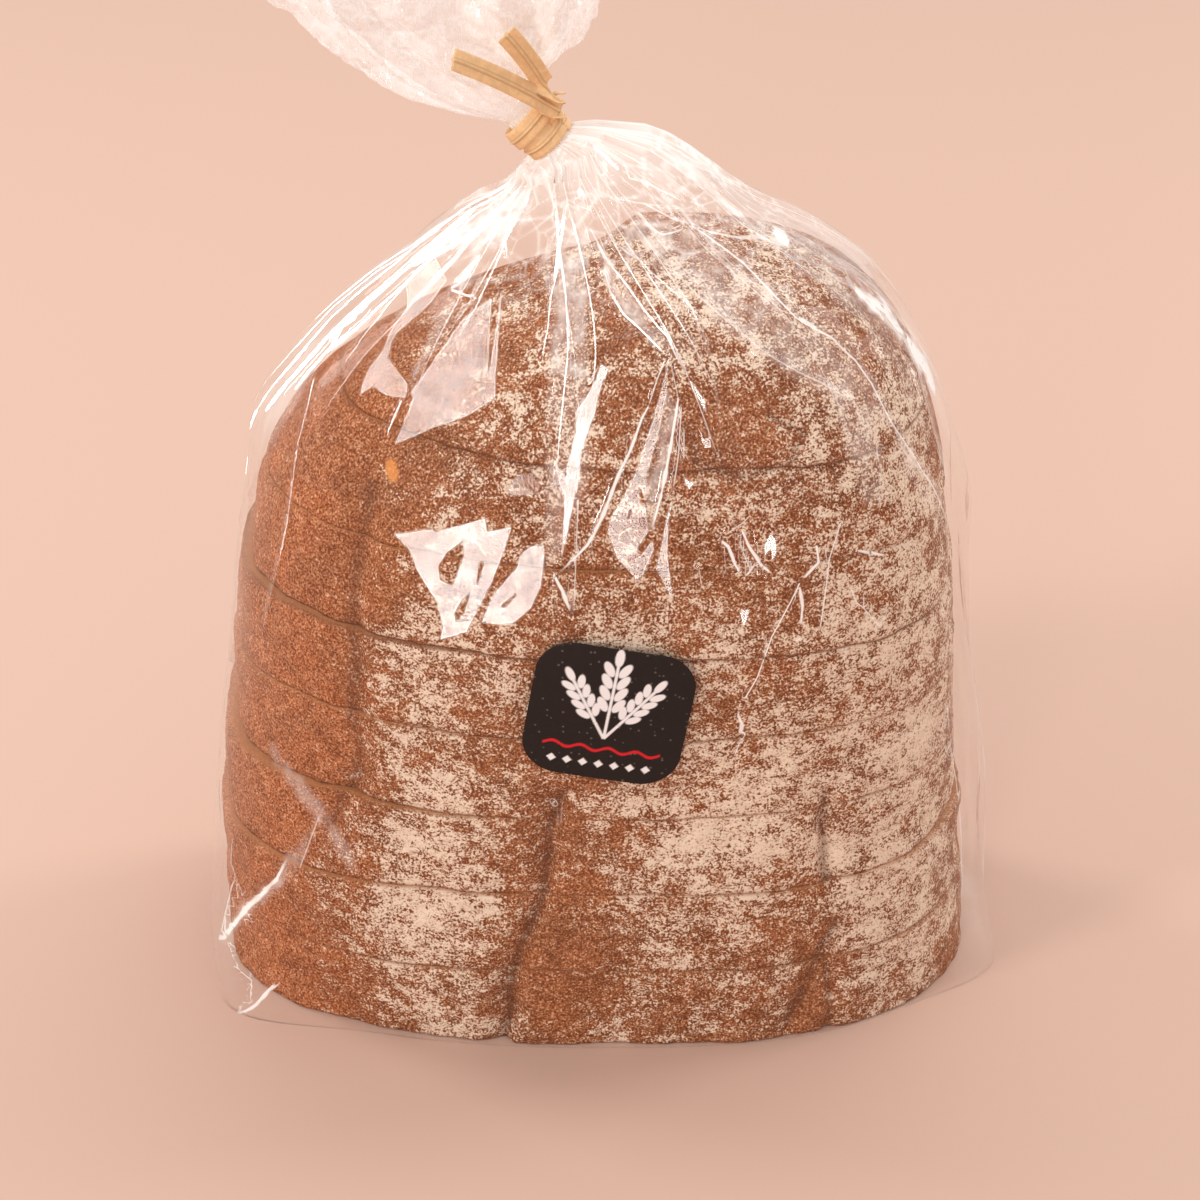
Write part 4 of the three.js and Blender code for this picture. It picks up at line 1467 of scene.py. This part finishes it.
            # The pleats' white lines are part crease whitening and part painted highlight.
            white = np.where(nearer, self.pleat_white * tall * fade, white)
        return total, line, white

    @staticmethod
    def way(turn: float, rise: float) -> np.ndarray:
        """The direction that is `turn` degrees to the right of the front and `rise` degrees up."""
        a, e = math.radians(turn), math.radians(rise)
        return np.array([math.sin(a) * math.cos(e), -math.cos(a) * math.cos(e), math.sin(e)])

    def planes(self, points: np.ndarray, front: np.ndarray) -> Marks:
        """The marks of the flat planes.

        Args:
            points: Plain points of the film.
            front: 1 on the front, 0 behind.

        Returns:
            Signed distance to the nearest plane's outline (positive inside), its aim and its glare.
        """
        x, z = points[..., 0], points[..., 2]
        plane, glare, aim = np.full(x.shape, -FAR), np.zeros(x.shape), np.zeros(points.shape)
        for facet in self.facets:
            inside = outline_distance(x, z, facet.outline)
            for hole in facet.holes:
                inside = np.minimum(inside, -outline_distance(x, z, hole))
            nearer = inside > plane
            plane = np.where(nearer, inside, plane)
            glare = np.where(nearer, facet.glare, glare)
            aim[nearer] = self.way(facet.turn, facet.rise)
        ragged = plane + self.ragged_plane.over(points)
        dull = np.clip(sum(patch.at(x, z) for patch in self.dull), 0, 0.95)
        glare = np.where(plane > self.plane_reach, glare + self.glare_cloud.over(points), -dull)
        return {"plane": np.where(front > 0.05, ragged, -FAR), "glare": glare, "aim": aim}

    def wall_angles(self, panel: Panel) -> np.ndarray:
        """Angles of a panel's columns, even along its outline and closer on the middle of the front.

        Args:
            panel: The panel.

        Returns:
            The angles.
        """
        fine = np.linspace(math.radians(panel.start), math.radians(panel.end), 4001)
        probe = self.body(fine, np.full(fine.shape, 60.0), np.ones(fine.shape))
        steps = np.linalg.norm(np.diff(probe, axis=0), axis=1) * (1.0 + 0.8 * (np.cos(fine[:-1]) > 0.4))
        length = np.concatenate([[0.0], np.cumsum(steps)])
        return np.interp(np.linspace(0, length[-1], panel.columns + 1), length, fine)

    def crinkles(self, plain: np.ndarray, angle: np.ndarray) -> tuple[np.ndarray, Marks]:
        """Pleats and crumpled planes that cover the whole bag, strongest near the neck.

        Args:
            plain: Plain points of the film.
            angle: Their angles round the bag.

        Returns:
            Heights in millimetres, and the marks milk, line and white, whose white is partly painted
            highlight.
        """
        z = plain[..., 2]
        tall = smooth(z, 118, 178)
        neck = self.neck.stations[0]
        out, line, white = self.pleats(angle, tall, np.hypot(plain[..., 0] - neck.x, plain[..., 1] - neck.y))
        out = out * (0.25 + 0.75 * tall)
        out += 0.55 * crumple(plain, 17.0, 2.0) * smooth(z, 70, 150)
        out += 0.22 * crumple(plain, 6.5, 7.0) * smooth(z, 110, 172)
        sides = smooth(np.abs(np.sin(angle)), 0.92, 0.995) * smooth(z, 116, 140)
        streaks = self.streaks.over(np.stack([angle * 70, 0 * z, z * 0.22], -1))
        cloud = 0.6 + self.cloud.over(plain)
        milk = 0.40 * smooth(z, 164, 178) * cloud + 0.25 * smooth(z, 173, 179)
        for size in (8.0, 4.5):
            milk += 0.4 * smooth(crumple(plain, size, size), 0.10, 0.0) * smooth(z, 150, 176)
        milk += sides * np.clip(0.12 + 0.35 * streaks, 0, 1)
        flap = 0.16 * bump(np.degrees(angle), 97, 13) * (1 - smooth(z, 60, 100))
        milk += flap * np.clip(0.6 + streaks, 0, 1)
        # White lines along the side folds, part crease whitening and part painted highlight.
        for at, low, high, bright in self.side_lines:
            sway = 1.6 * np.sin(z * 0.11 + at)
            away = (np.degrees(angle) - at + sway) * mix(0.45, 1.2, smooth(z, 90, 120))
            nearer = np.abs(away) < np.abs(line)
            line = np.where(nearer, away, line)
            white = np.where(nearer, bright * smooth(z, low, low + 12) * smooth(z, high + 12, high), white)
        marks = {"milk": np.clip(milk, 0, 1), "line": line, "white": white}
        return out + self.swell.over(plain), marks

    def details(self, plain: np.ndarray, angle: np.ndarray) -> tuple[np.ndarray, Marks]:
        """Folds, flat planes and veils of the front.

        Args:
            plain: Plain points of the film.
            angle: Their angles round the bag.

        Returns:
            Heights in millimetres, and the film's marks.
        """
        x, z = plain[..., 0], plain[..., 2]
        front = smooth(np.cos(angle), 0.05, 0.3)
        out, marks = self.crinkles(plain, angle)
        ridge, veils = np.zeros(x.shape), np.zeros(x.shape)
        line, white = marks["line"], marks["white"]
        ragged = self.ragged_line.over(plain)
        for fold in self.folds:
            distance, along, side = path_distance(x, z, fold.path)
            fade = smooth(along, 1.0, 0.85)
            ridge = np.maximum(ridge, fold.height * smooth(1 - distance / fold.width, 0, 1) * fade)
            taper = 0.3 + 0.7 * np.sin(np.pi * np.clip(along, 0, 1)) ** 0.6 * (0.75 + ragged)
            half = np.where(fold.half > FINE, fold.half * np.maximum(taper, 0.2), FINE)
            distance = distance * FINE / half
            nearer = (distance < np.abs(line)) & (front > 0.05)
            line = np.where(nearer, distance * side, line)
            # The folds' white is part crease whitening and part painted highlight.
            white = np.where(nearer, fold.white * fade * (along > 0), white)
        for veil in self.veils:
            inside = outline_distance(x, z, veil.outline) + 0.8 * ragged
            veils = np.maximum(veils, veil.milk * smooth(inside, -0.9, 0.9))
        streaked = 0.95 + self.veil_streaks.over(plain * np.array([1.0, 1.0, 0.35]))
        streaked = np.clip(streaked + self.veil_cloud.over(plain), 0.15, 2.2)
        label_x, label_z = self.label_place
        stuck = smooth(np.hypot(x - label_x, z - label_z), *self.label_reach)
        white = white * smooth(np.abs(line), 1.2, 0.7)
        milk = (marks["milk"] + veils * front * streaked) * stuck
        marks = {"milk": milk, "line": line, "white": white * stuck}
        flat = self.planes(plain, front)
        creased = (flat["plane"] < self.plane_reach) & (np.abs(line) < 0.5) & (marks["white"] > 0.05)
        flat["glare"] = np.where(creased, 1.7 * marks["white"] - 0.9, flat["glare"])
        flat["aim"][creased] = self.way(self.crease_turn, self.crease_rise)
        return (out + ridge * front) * stuck, marks | flat

    def sheet(self, panel: Panel) -> bpy.types.Object:
        """Make one panel of the body.

        Args:
            panel: Which panel.

        Returns:
            The sheet.
        """
        angles = self.wall_angles(panel)
        base = np.array([0.0, 0.35, 0.7, 0.9, 0.97, 0.99]) if panel.base else np.zeros(0)
        walls = np.linspace(*panel.heights, panel.rows)
        z = np.concatenate([np.full(len(base), self.floor_gap), walls])
        spread = np.concatenate([base, [0.997 if panel.base else 1.0], np.ones(len(walls) - 1)])
        angle, level = np.meshgrid(angles, z)
        plain = self.body(angle, level, np.broadcast_to(spread[:, None], angle.shape))
        fade = np.concatenate([np.zeros(len(base)), np.ones(len(walls))])
        if panel.gathers:
            ring_angle, place = np.meshgrid(angles, np.linspace(0.15, 2.6, panel.gathers))
            plain = np.concatenate([plain, self.neck.ring(ring_angle, place)])
            angle = np.concatenate([angle, ring_angle])
            fade = np.concatenate([fade, np.linspace(1, 0.2, panel.gathers)])
        normals = lattice_normals(plain)
        if panel.start < 0:
            out, marks = self.details(plain, angle)
        else:
            out, marks = self.crinkles(plain, angle)
            marks = {"milk": marks["milk"]}
        marks["milk"] = np.clip(marks["milk"], 0, 0.9)
        points = plain + normals * (out * fade[:, None])[..., None]
        points[..., 2] = np.maximum(points[..., 2], self.floor_gap)
        form = Form.CUP if panel.base else Form.SHEET
        return piece_from_lattice(panel.name, points, marks, form)

    def ruffle(self) -> bpy.types.Object:
        """Make the flared film above the tie.

        Returns:
            The ruffle.
        """
        angles = np.linspace(-math.pi, math.pi, self.ruffle_columns + 1)
        places = np.linspace(2.1, 10.0, self.ruffle_rows + 1)
        angle, place = np.meshgrid(angles, places)
        plain = self.neck.ring(angle, place)
        normals = lattice_normals(plain)
        normals[:, -1] = normals[:, 0]
        size = self.neck.at(place)
        opened = smooth(size["wide"], 4.5, 26.0)
        wave = np.cos(11 * angle + 1.7 * np.sin(angle) + 2.6 * opened)
        fine = np.cos(29 * angle + 2.0 * np.sin(3 * angle) + 1.1 * place)
        out = size["deep"] * opened * (0.15 * wave + 0.04 * fine)
        ring = np.stack([np.cos(angle) * 14, np.sin(angle) * 14, plain[..., 2] * 0.7], -1)
        broad, small, tiny = crumple(ring, 7.0, 5.0), crumple(ring, 3.0, 1.0), crumple(ring, 1.3, 6.0)
        out += opened * (2.4 * broad + 1.3 * small + 0.6 * tiny - 1.4)
        points = plain + normals * out[..., None]
        lift = smooth(place, 7.4, 10.0)
        points[..., 2] += lift * (3.2 * np.sin(5 * angle + 0.4) + 1.6 * np.sin(13 * angle + 1.0))
        milk = 0.26 + 0.16 * (1 - opened) + 0.16 * np.clip(self.ruffle_cloud.over(ring), -0.5, 1)
        milk += 0.22 * smooth(broad, 0.08, 0.0) + 0.16 * smooth(small, 0.12, 0.0)
        middle = points[:1].mean(axis=1, keepdims=True)
        plug = [mix(middle, points[:1], share) for share in (0.0, 0.5)]
        points = np.concatenate([*plug, points])
        milk = np.concatenate([milk[:1], milk[:1], milk])
        return piece_from_lattice("film_ruffle", points, {"milk": milk}, Form.CUP)

    def build(self) -> None:
        """Make and dress the film."""
        body = FilmFinish("bag_film").material()
        behind = FilmFinish("back_film", kind=FilmKind.PLAIN).material()
        crinkled = FilmFinish(
            "gathered_film", haze=0.02, slant_haze=0.25, rough=0.05, milk=(0.97, 0.93, 0.91, 1.0),
            kind=FilmKind.GATHERED, lets_light_in=0.4,
        )
        gathered = crinkled.material()
        pieces = [(self.sheet(panel), body if panel.start < 0 else behind) for panel in self.panels]
        pieces.append((self.ruffle(), gathered))
        for piece, finish in pieces:
            piece.data.materials.append(finish)
            declare(piece, "bag")


@dataclass
class TwistTie:
    """A paper strap with a wire: two turns round the neck, a twist and two free ends."""

    neck: GatheredNeck
    width: float = 4.1
    paper: float = 0.34
    ridge: float = 0.34
    turns: float = 2.0
    radius: float = 4.95
    under_turn: float = 0.7
    twist_angle: float = 62.0
    long_end: float = 29.0
    short_end: float = 24.0
    long_aim: tuple[float, float, float] = (-20.0, -16.0, 16.8)
    short_aim: tuple[float, float, float] = (-9.0, -13.0, 19.5)
    face: tuple[float, float, float] = (-0.2, -0.8, 0.55)
    end_steps: int = 60
    turn_steps: int = 140
    twist_steps: int = 50
    winding: float = 7.5

    def frame_at(self) -> tuple[np.ndarray, np.ndarray, np.ndarray]:
        """Foot, sideways and lengthwise directions of the neck inside the tie."""
        foot = self.neck.stations[self.neck.tie_foot]
        tilt = math.radians(foot.tilt)
        return (
            np.array([foot.x, foot.y, foot.z]),
            np.array([math.cos(tilt), 0.0, math.sin(tilt)]),
            np.array([-math.sin(tilt), 0.0, math.cos(tilt)]),
        )

    def round_neck(
        self, angle: np.ndarray, along: np.ndarray, radius: np.ndarray
    ) -> tuple[np.ndarray, np.ndarray]:
        """Points round the neck and their outward directions.

        Args:
            angle: Angles round the neck, 0 in front.
            along: Distances up the neck.
            radius: Distances from its middle.

        Returns:
            Points and directions.
        """
        foot, right, up = self.frame_at()
        outward = np.sin(angle)[:, None] * right - np.cos(angle)[:, None] * np.array([0.0, 1.0, 0.0])
        return foot + along[:, None] * up + radius[:, None] * outward, outward

    def strap(
        self, name: str, path: np.ndarray, facing: np.ndarray, finish: bpy.types.Material
    ) -> bpy.types.Object:
        """Make a strap along a path.

        Args:
            name: The piece's name.
            path: Points along its middle.
            facing: The direction that its face looks to at each point.
            finish: The paper.

        Returns:
            The strap.
        """
        half, face = self.width / 2, self.paper / 2
        spread = np.array([-1.0, -0.96, -0.6, -0.3, -0.18, -0.09, 0.0, 0.09, 0.18, 0.3, 0.6, 0.96, 1.0])
        wire = np.exp(-((spread / 0.13) ** 2)) * self.ridge
        thick = face * np.sqrt(np.clip(1 - np.abs(spread) ** 14, 0.05, 1)) + wire
        under, over = np.stack([spread * half, -thick], -1), np.stack([spread * half, thick], -1)
        section = np.concatenate([under, over[::-1], under[:1]])
        # Painted shade: the creases on both flanks of the wire's ridge are marked for darkening.
        ridge_shade_lines = np.concatenate([bump(np.abs(spread), 0.17, 0.07)] * 2 + [[0.0]])
        tangent = np.gradient(path, axis=0)
        tangent /= np.linalg.norm(tangent, axis=1, keepdims=True)
        across = np.cross(facing, tangent)
        across /= np.linalg.norm(across, axis=1, keepdims=True)
        out = np.cross(tangent, across)
        lattice = path[:, None] + section[None, :, :1] * across[:, None] + section[None, :, 1:] * out[:, None]
        lattice = np.concatenate([np.broadcast_to(path[:1, None], lattice[:1].shape), lattice])
        lattice = np.concatenate([lattice, np.broadcast_to(path[-1:, None], lattice[:1].shape)])
        wires = np.broadcast_to(ridge_shade_lines, lattice.shape[:2]).copy()
        piece = piece_from_lattice(name, lattice, {"wire": wires}, Form.SOLID)
        piece.data.materials.append(finish)
        declare(piece, "twist_tie")
        return piece

    def build(self) -> None:
        """Make and dress the tie."""
        finish = PaperFinish("kraft_paper", (0.88, 0.56, 0.29, 1.0), rough=0.62, sheen=0.3).material()
        twist_angle = math.radians(self.twist_angle)
        share = np.linspace(0, 1, self.turn_steps)
        angle = twist_angle - share * self.turns * 2 * math.pi
        along = mix(6.6, 2.2, smooth(share, 0.05, 0.62)) + 0.5 * np.sin(angle) * (share < 0.5)
        radius = self.radius + np.where(share < 0.5, self.under_turn * (1 - smooth(share, 0.3, 0.5)), 0.0)
        path, outward = self.round_neck(angle, along, radius)
        self.strap("tie_turns", path, outward, finish)
        knot, _ = self.round_neck(np.array([twist_angle]), np.array([6.2]), np.array([6.3]))
        self.ends(knot[0], finish)
        t = np.linspace(0, 1, self.twist_steps)
        s, c = np.sin(t * self.winding), np.cos(t * self.winding)
        wound = knot + np.stack([s * 0.9 - 0.2, c * 0.9 - 0.7, mix(-3.2, 2.6, t)], -1)
        self.strap("tie_twist", wound, np.stack([c, -s, 0.2 * mix(-0.5, 1.1, t)], -1), finish)

    def ends(self, knot: np.ndarray, finish: bpy.types.Material) -> None:
        """Make the long end, and the short end that turns over once.

        Args:
            knot: The middle of the twist.
            finish: The paper.
        """
        face = np.array(self.face)
        t = np.linspace(0, 1, self.end_steps)[:, None]
        aim = np.array(self.long_aim) / np.linalg.norm(self.long_aim)
        start = knot + np.array([1.4, -2.0, -0.2])
        path = start + t * aim * self.long_end + (t * (1 - t)) * np.array([0.0, -1.0, 3.0])
        self.strap("tie_long_end", path, np.broadcast_to(face, path.shape), finish)
        aim = np.array(self.short_aim) / np.linalg.norm(self.short_aim)
        start = knot + np.array([0.6, -0.9, 0.4])
        path = start + t * aim * self.short_end + (t * (1 - t)) * np.array([2.5, 0.0, 1.0])
        side = np.cross(aim, face)
        side = side / np.linalg.norm(side)
        half_turn = np.pi * smooth(t, 0.0, 0.35)
        self.strap("tie_short_end", path, np.sin(half_turn) * side - np.cos(half_turn) * face, finish)


@dataclass
class Label:
    """The square label with round corners, printed with a wheat ear and a wavy line."""

    bag: Bag
    side: float = 31.0
    corner: float = 7.5
    x: float = 2.6
    z: float = 84.0
    turn: float = 9.5
    rows: int = 170
    gap: float = 0.18
    wall: float = 0.16
    fit_reach: float = 20.0
    fit_terms: int = 6
    edge: float = 0.09
    black: Colour = (0.016, 0.010, 0.009, 1.0)
    ear_foot: tuple[float, float] = (0.0, -5.6)
    ears: Path = ((0, 1.0), (-32, 0.86), (32, 0.86))
    dot_row: float = -11.9
    wave_row: float = -8.3

    def film_y(self, x: np.ndarray, z: np.ndarray) -> np.ndarray:
        """The film's y behind places on the front, from a smooth fit to the plain film.

        Args:
            x: Places across.
            z: Heights.

        Returns:
            The y of the film in millimetres.
        """
        turns, heights = np.radians(np.linspace(-30, 30, 61)), np.linspace(self.z - 24, self.z + 24, 49)
        angle, level = np.meshgrid(turns, heights)
        points = self.bag.body(angle, level, np.ones(level.shape)).reshape(-1, 3)
        u, w = (points[:, 0] - self.x) / self.fit_reach, (points[:, 2] - self.z) / self.fit_reach
        terms = [(i, j) for i in range(self.fit_terms) for j in range(self.fit_terms - i)]
        fit, *_ = np.linalg.lstsq(np.stack([u**i * w**j for i, j in terms], -1), points[:, 1], rcond=None)
        p, q = (x - self.x) / self.fit_reach, (z - self.z) / self.fit_reach
        return sum(k * p**i * q**j for k, (i, j) in zip(fit, terms))

    def print_marks(self, u: np.ndarray, w: np.ndarray) -> Marks:
        """The print: a wheat ear in white and a wavy line in red.

        Args:
            u: Places across the label, from its middle.
            w: Places up the label, from its middle.

        Returns:
            The marks ink and red.
        """

        def oval(cx: float, cw: float, long: float, short: float, lean: float) -> np.ndarray:
            """Distance inside an oval, in millimetres."""
            a = math.radians(lean)
            du, dw = u - cx, w - cw
            along, off = du * math.sin(a) + dw * math.cos(a), du * math.cos(a) - dw * math.sin(a)
            return (1 - np.hypot(along / long, off / short)) * short

        shapes = []
        root = np.array(self.ear_foot)
        for lean, reach in self.ears:
            a = math.radians(lean)
            side, up = np.array([math.cos(a), -math.sin(a)]), np.array([math.sin(a), math.cos(a)])
            for step in range(4):
                level = root + up * (8.2 + 2.75 * step) * reach
                for hand in (-1, 1):
                    cx, cw = level + hand * side * 1.55 * reach
                    shapes.append(oval(cx, cw, 1.85 * reach, 0.88 * reach, lean + 30 * hand))
            tip = root + up * 19.2 * reach
            shapes.append(oval(tip[0], tip[1], 2.0 * reach, 0.9 * reach, lean))
            off = (u - root[0]) * side[0] + (w - root[1]) * side[1]
            along = (u - root[0]) * up[0] + (w - root[1]) * up[1]
            shapes.append(np.minimum(0.3 - np.abs(off), np.minimum(along, 18.0 * reach - along)))
        for step in range(-3, 4):
            shapes.append(0.75 - np.abs(u - step * 3.1) * 0.8 - np.abs(w - self.dot_row) * 0.8)
        ink = smooth(np.max(shapes, axis=0), -self.edge, self.edge)
        line = 0.34 - np.abs(w - self.wave_row - 0.5 * np.sin(u * 1.15))
        line = np.minimum(line, 11.5 - np.abs(u))
        red = smooth(line, -self.edge, self.edge)
        return {"ink": ink * (1 - red), "red": red}

    def build(self) -> bpy.types.Object:
        """Make and dress the label.

        Returns:
            The label.
        """
        finish = PaperFinish("printed_label", self.black, rough=0.45, sheen=0.2, printed=True).material()
        s, t = np.meshgrid(np.linspace(-1, 1, self.rows + 1), np.linspace(-1, 1, self.rows + 1))
        big = np.maximum(np.abs(s), np.abs(t))
        middle = big == 0
        big = np.where(middle, 1.0, big)
        ds, dt = np.where(middle, 1.0, s / big), t / big
        half, inner = self.side / 2, self.side / 2 - self.corner
        unit = np.hypot(ds, dt)
        cs, ct = np.abs(ds) / unit, np.abs(dt) / unit
        flat_reach = half / np.maximum(cs, ct)
        b = inner * (cs + ct)
        round_reach = b + np.sqrt(np.maximum(b**2 - (2 * inner**2 - self.corner**2), 0.0))
        in_corner = np.minimum(cs, ct) * flat_reach > inner
        reach = np.where(in_corner, round_reach, flat_reach) / unit
        u, w = s * reach, t * reach
        lean = math.radians(-self.turn)
        x = self.x + u * math.cos(lean) - w * math.sin(lean)
        z = self.z + u * math.sin(lean) + w * math.cos(lean)
        y = self.film_y(x, z) - self.gap
        lattice = np.stack([x, y, z], -1)
        piece = piece_from_lattice("label_face", lattice, self.print_marks(u, w), Form.SHEET, self.wall)
        piece.data.materials.append(finish)
        declare(piece, "label")
        return piece


@dataclass
class Studio:
    """The floor, the lights and the camera."""

    look: tuple[float, float, float] = (0.001, 0.0, 0.080)
    elevation: float = 31.0
    distance: float = 0.620
    lens: float = 89.7
    sensor: float = 36.0
    floor_half: float = 2.5
    floor_colour: Colour = (0.60, 0.40, 0.315, 1.0)
    lamp_colour: tuple[float, float, float] = (0.97, 1.0, 1.0)
    lamp_aim: tuple[float, float, float] = (0.0, 0.0, 0.10)
    room_colour: Colour = (1.0, 0.93, 0.90, 1.0)
    room_light: float = 0.75

    def floor(self) -> None:
        """Lay a plain pale floor."""
        shape = bmesh.new()
        bmesh.ops.create_grid(shape, x_segments=1, y_segments=1, size=self.floor_half)
        mesh = bpy.data.meshes.new("floor")
        shape.to_mesh(mesh)
        shape.free()
        floor = bpy.data.objects.new("floor", mesh)
        bpy.context.scene.collection.objects.link(floor)
        material, g, out = new_material("floor")
        skin = {"Base Color": self.floor_colour, "Roughness": 0.6, "Specular IOR Level": 0.2}
        g.tree.links.new(g.add("ShaderNodeBsdfPrincipled", skin).outputs[0], out.inputs["Surface"])
        mesh.materials.append(material)

    def lamp(
        self, name: str, azimuth: float, elevation: float, distance: float, size: tuple[float, float],
        power: float,
    ) -> None:
        """Hang a soft box that looks at the object.

        Args:
            name: The lamp's name.
            azimuth: Degrees round from the front, positive to the right.
            elevation: Degrees above the floor.
            distance: Metres from the object.
            size: Width and height in metres.
            power: Watts.
        """
        light = bpy.data.lights.new(name, "AREA")
        light.shape = "RECTANGLE"
        light.size, light.size_y = size
        light.energy = power
        light.color = self.lamp_colour
        lamp = bpy.data.objects.new(name, light)
        a, e = math.radians(azimuth), math.radians(elevation)
        way = Vector((math.sin(a) * math.cos(e), -math.cos(a) * math.cos(e), math.sin(e)))
        lamp.location = Vector(self.lamp_aim) + way * distance
        lamp.rotation_euler = way.to_track_quat("Z", "Y").to_euler()
        bpy.context.scene.collection.objects.link(lamp)

    def light(self) -> None:
        """Light the scene like a soft, bright table."""
        self.lamp("left_window", -55, 38, 1.2, (0.20, 0.25), 3.8)
        self.lamp("low_window", -15, 10, 1.2, (0.20, 0.21), 3.4)
        self.lamp("back_box", 165, 60, 1.4, (1.2, 0.6), 5.5)
        self.lamp("right_back_strip", 112, 34, 1.2, (0.30, 0.9), 4.5)
        self.lamp("left_back_strip", -118, 36, 1.2, (0.30, 0.9), 4.5)
        world = bpy.data.worlds.new("soft_room")
        world.use_nodes = True
        room = world.node_tree.nodes["Background"]
        room.inputs["Color"].default_value = self.room_colour
        room.inputs["Strength"].default_value = self.room_light
        bpy.context.scene.world = world

    def camera(self) -> None:
        """Place the camera."""
        data = bpy.data.cameras.new("camera")
        data.lens, data.sensor_width = self.lens, self.sensor
        camera = bpy.data.objects.new("camera", data)
        e = math.radians(self.elevation)
        back = Vector((0.0, -math.cos(e), math.sin(e)))
        camera.location = Vector(self.look) + back * self.distance
        camera.rotation_euler = back.to_track_quat("Z", "Y").to_euler()
        bpy.context.scene.collection.objects.link(camera)
        bpy.context.scene.camera = camera
        bpy.context.scene.view_settings.view_transform = "Standard"

    def build(self) -> None:
        """Set up floor, lights and camera."""
        self.floor()
        self.light()
        self.camera()


def corners(box: tuple[Vector, Vector]) -> list[list[float]]:
    """A box's two corners as plain lists of numbers."""
    return [[float(value) for value in corner] for corner in box]


def main() -> None:
    """Build the loaf, the bag, the tie, the label and the studio."""
    logging.basicConfig(level=logging.INFO, format="%(message)s")
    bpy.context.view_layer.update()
    shape = LoafShape()
    neck = GatheredNeck()
    SlicedLoaf(shape).build()
    bag = Bag(shape, neck)
    bag.build()
    TwistTie(neck).build()
    Label(bag).build()
    Studio().build()


if __name__ == "__main__":
    main()
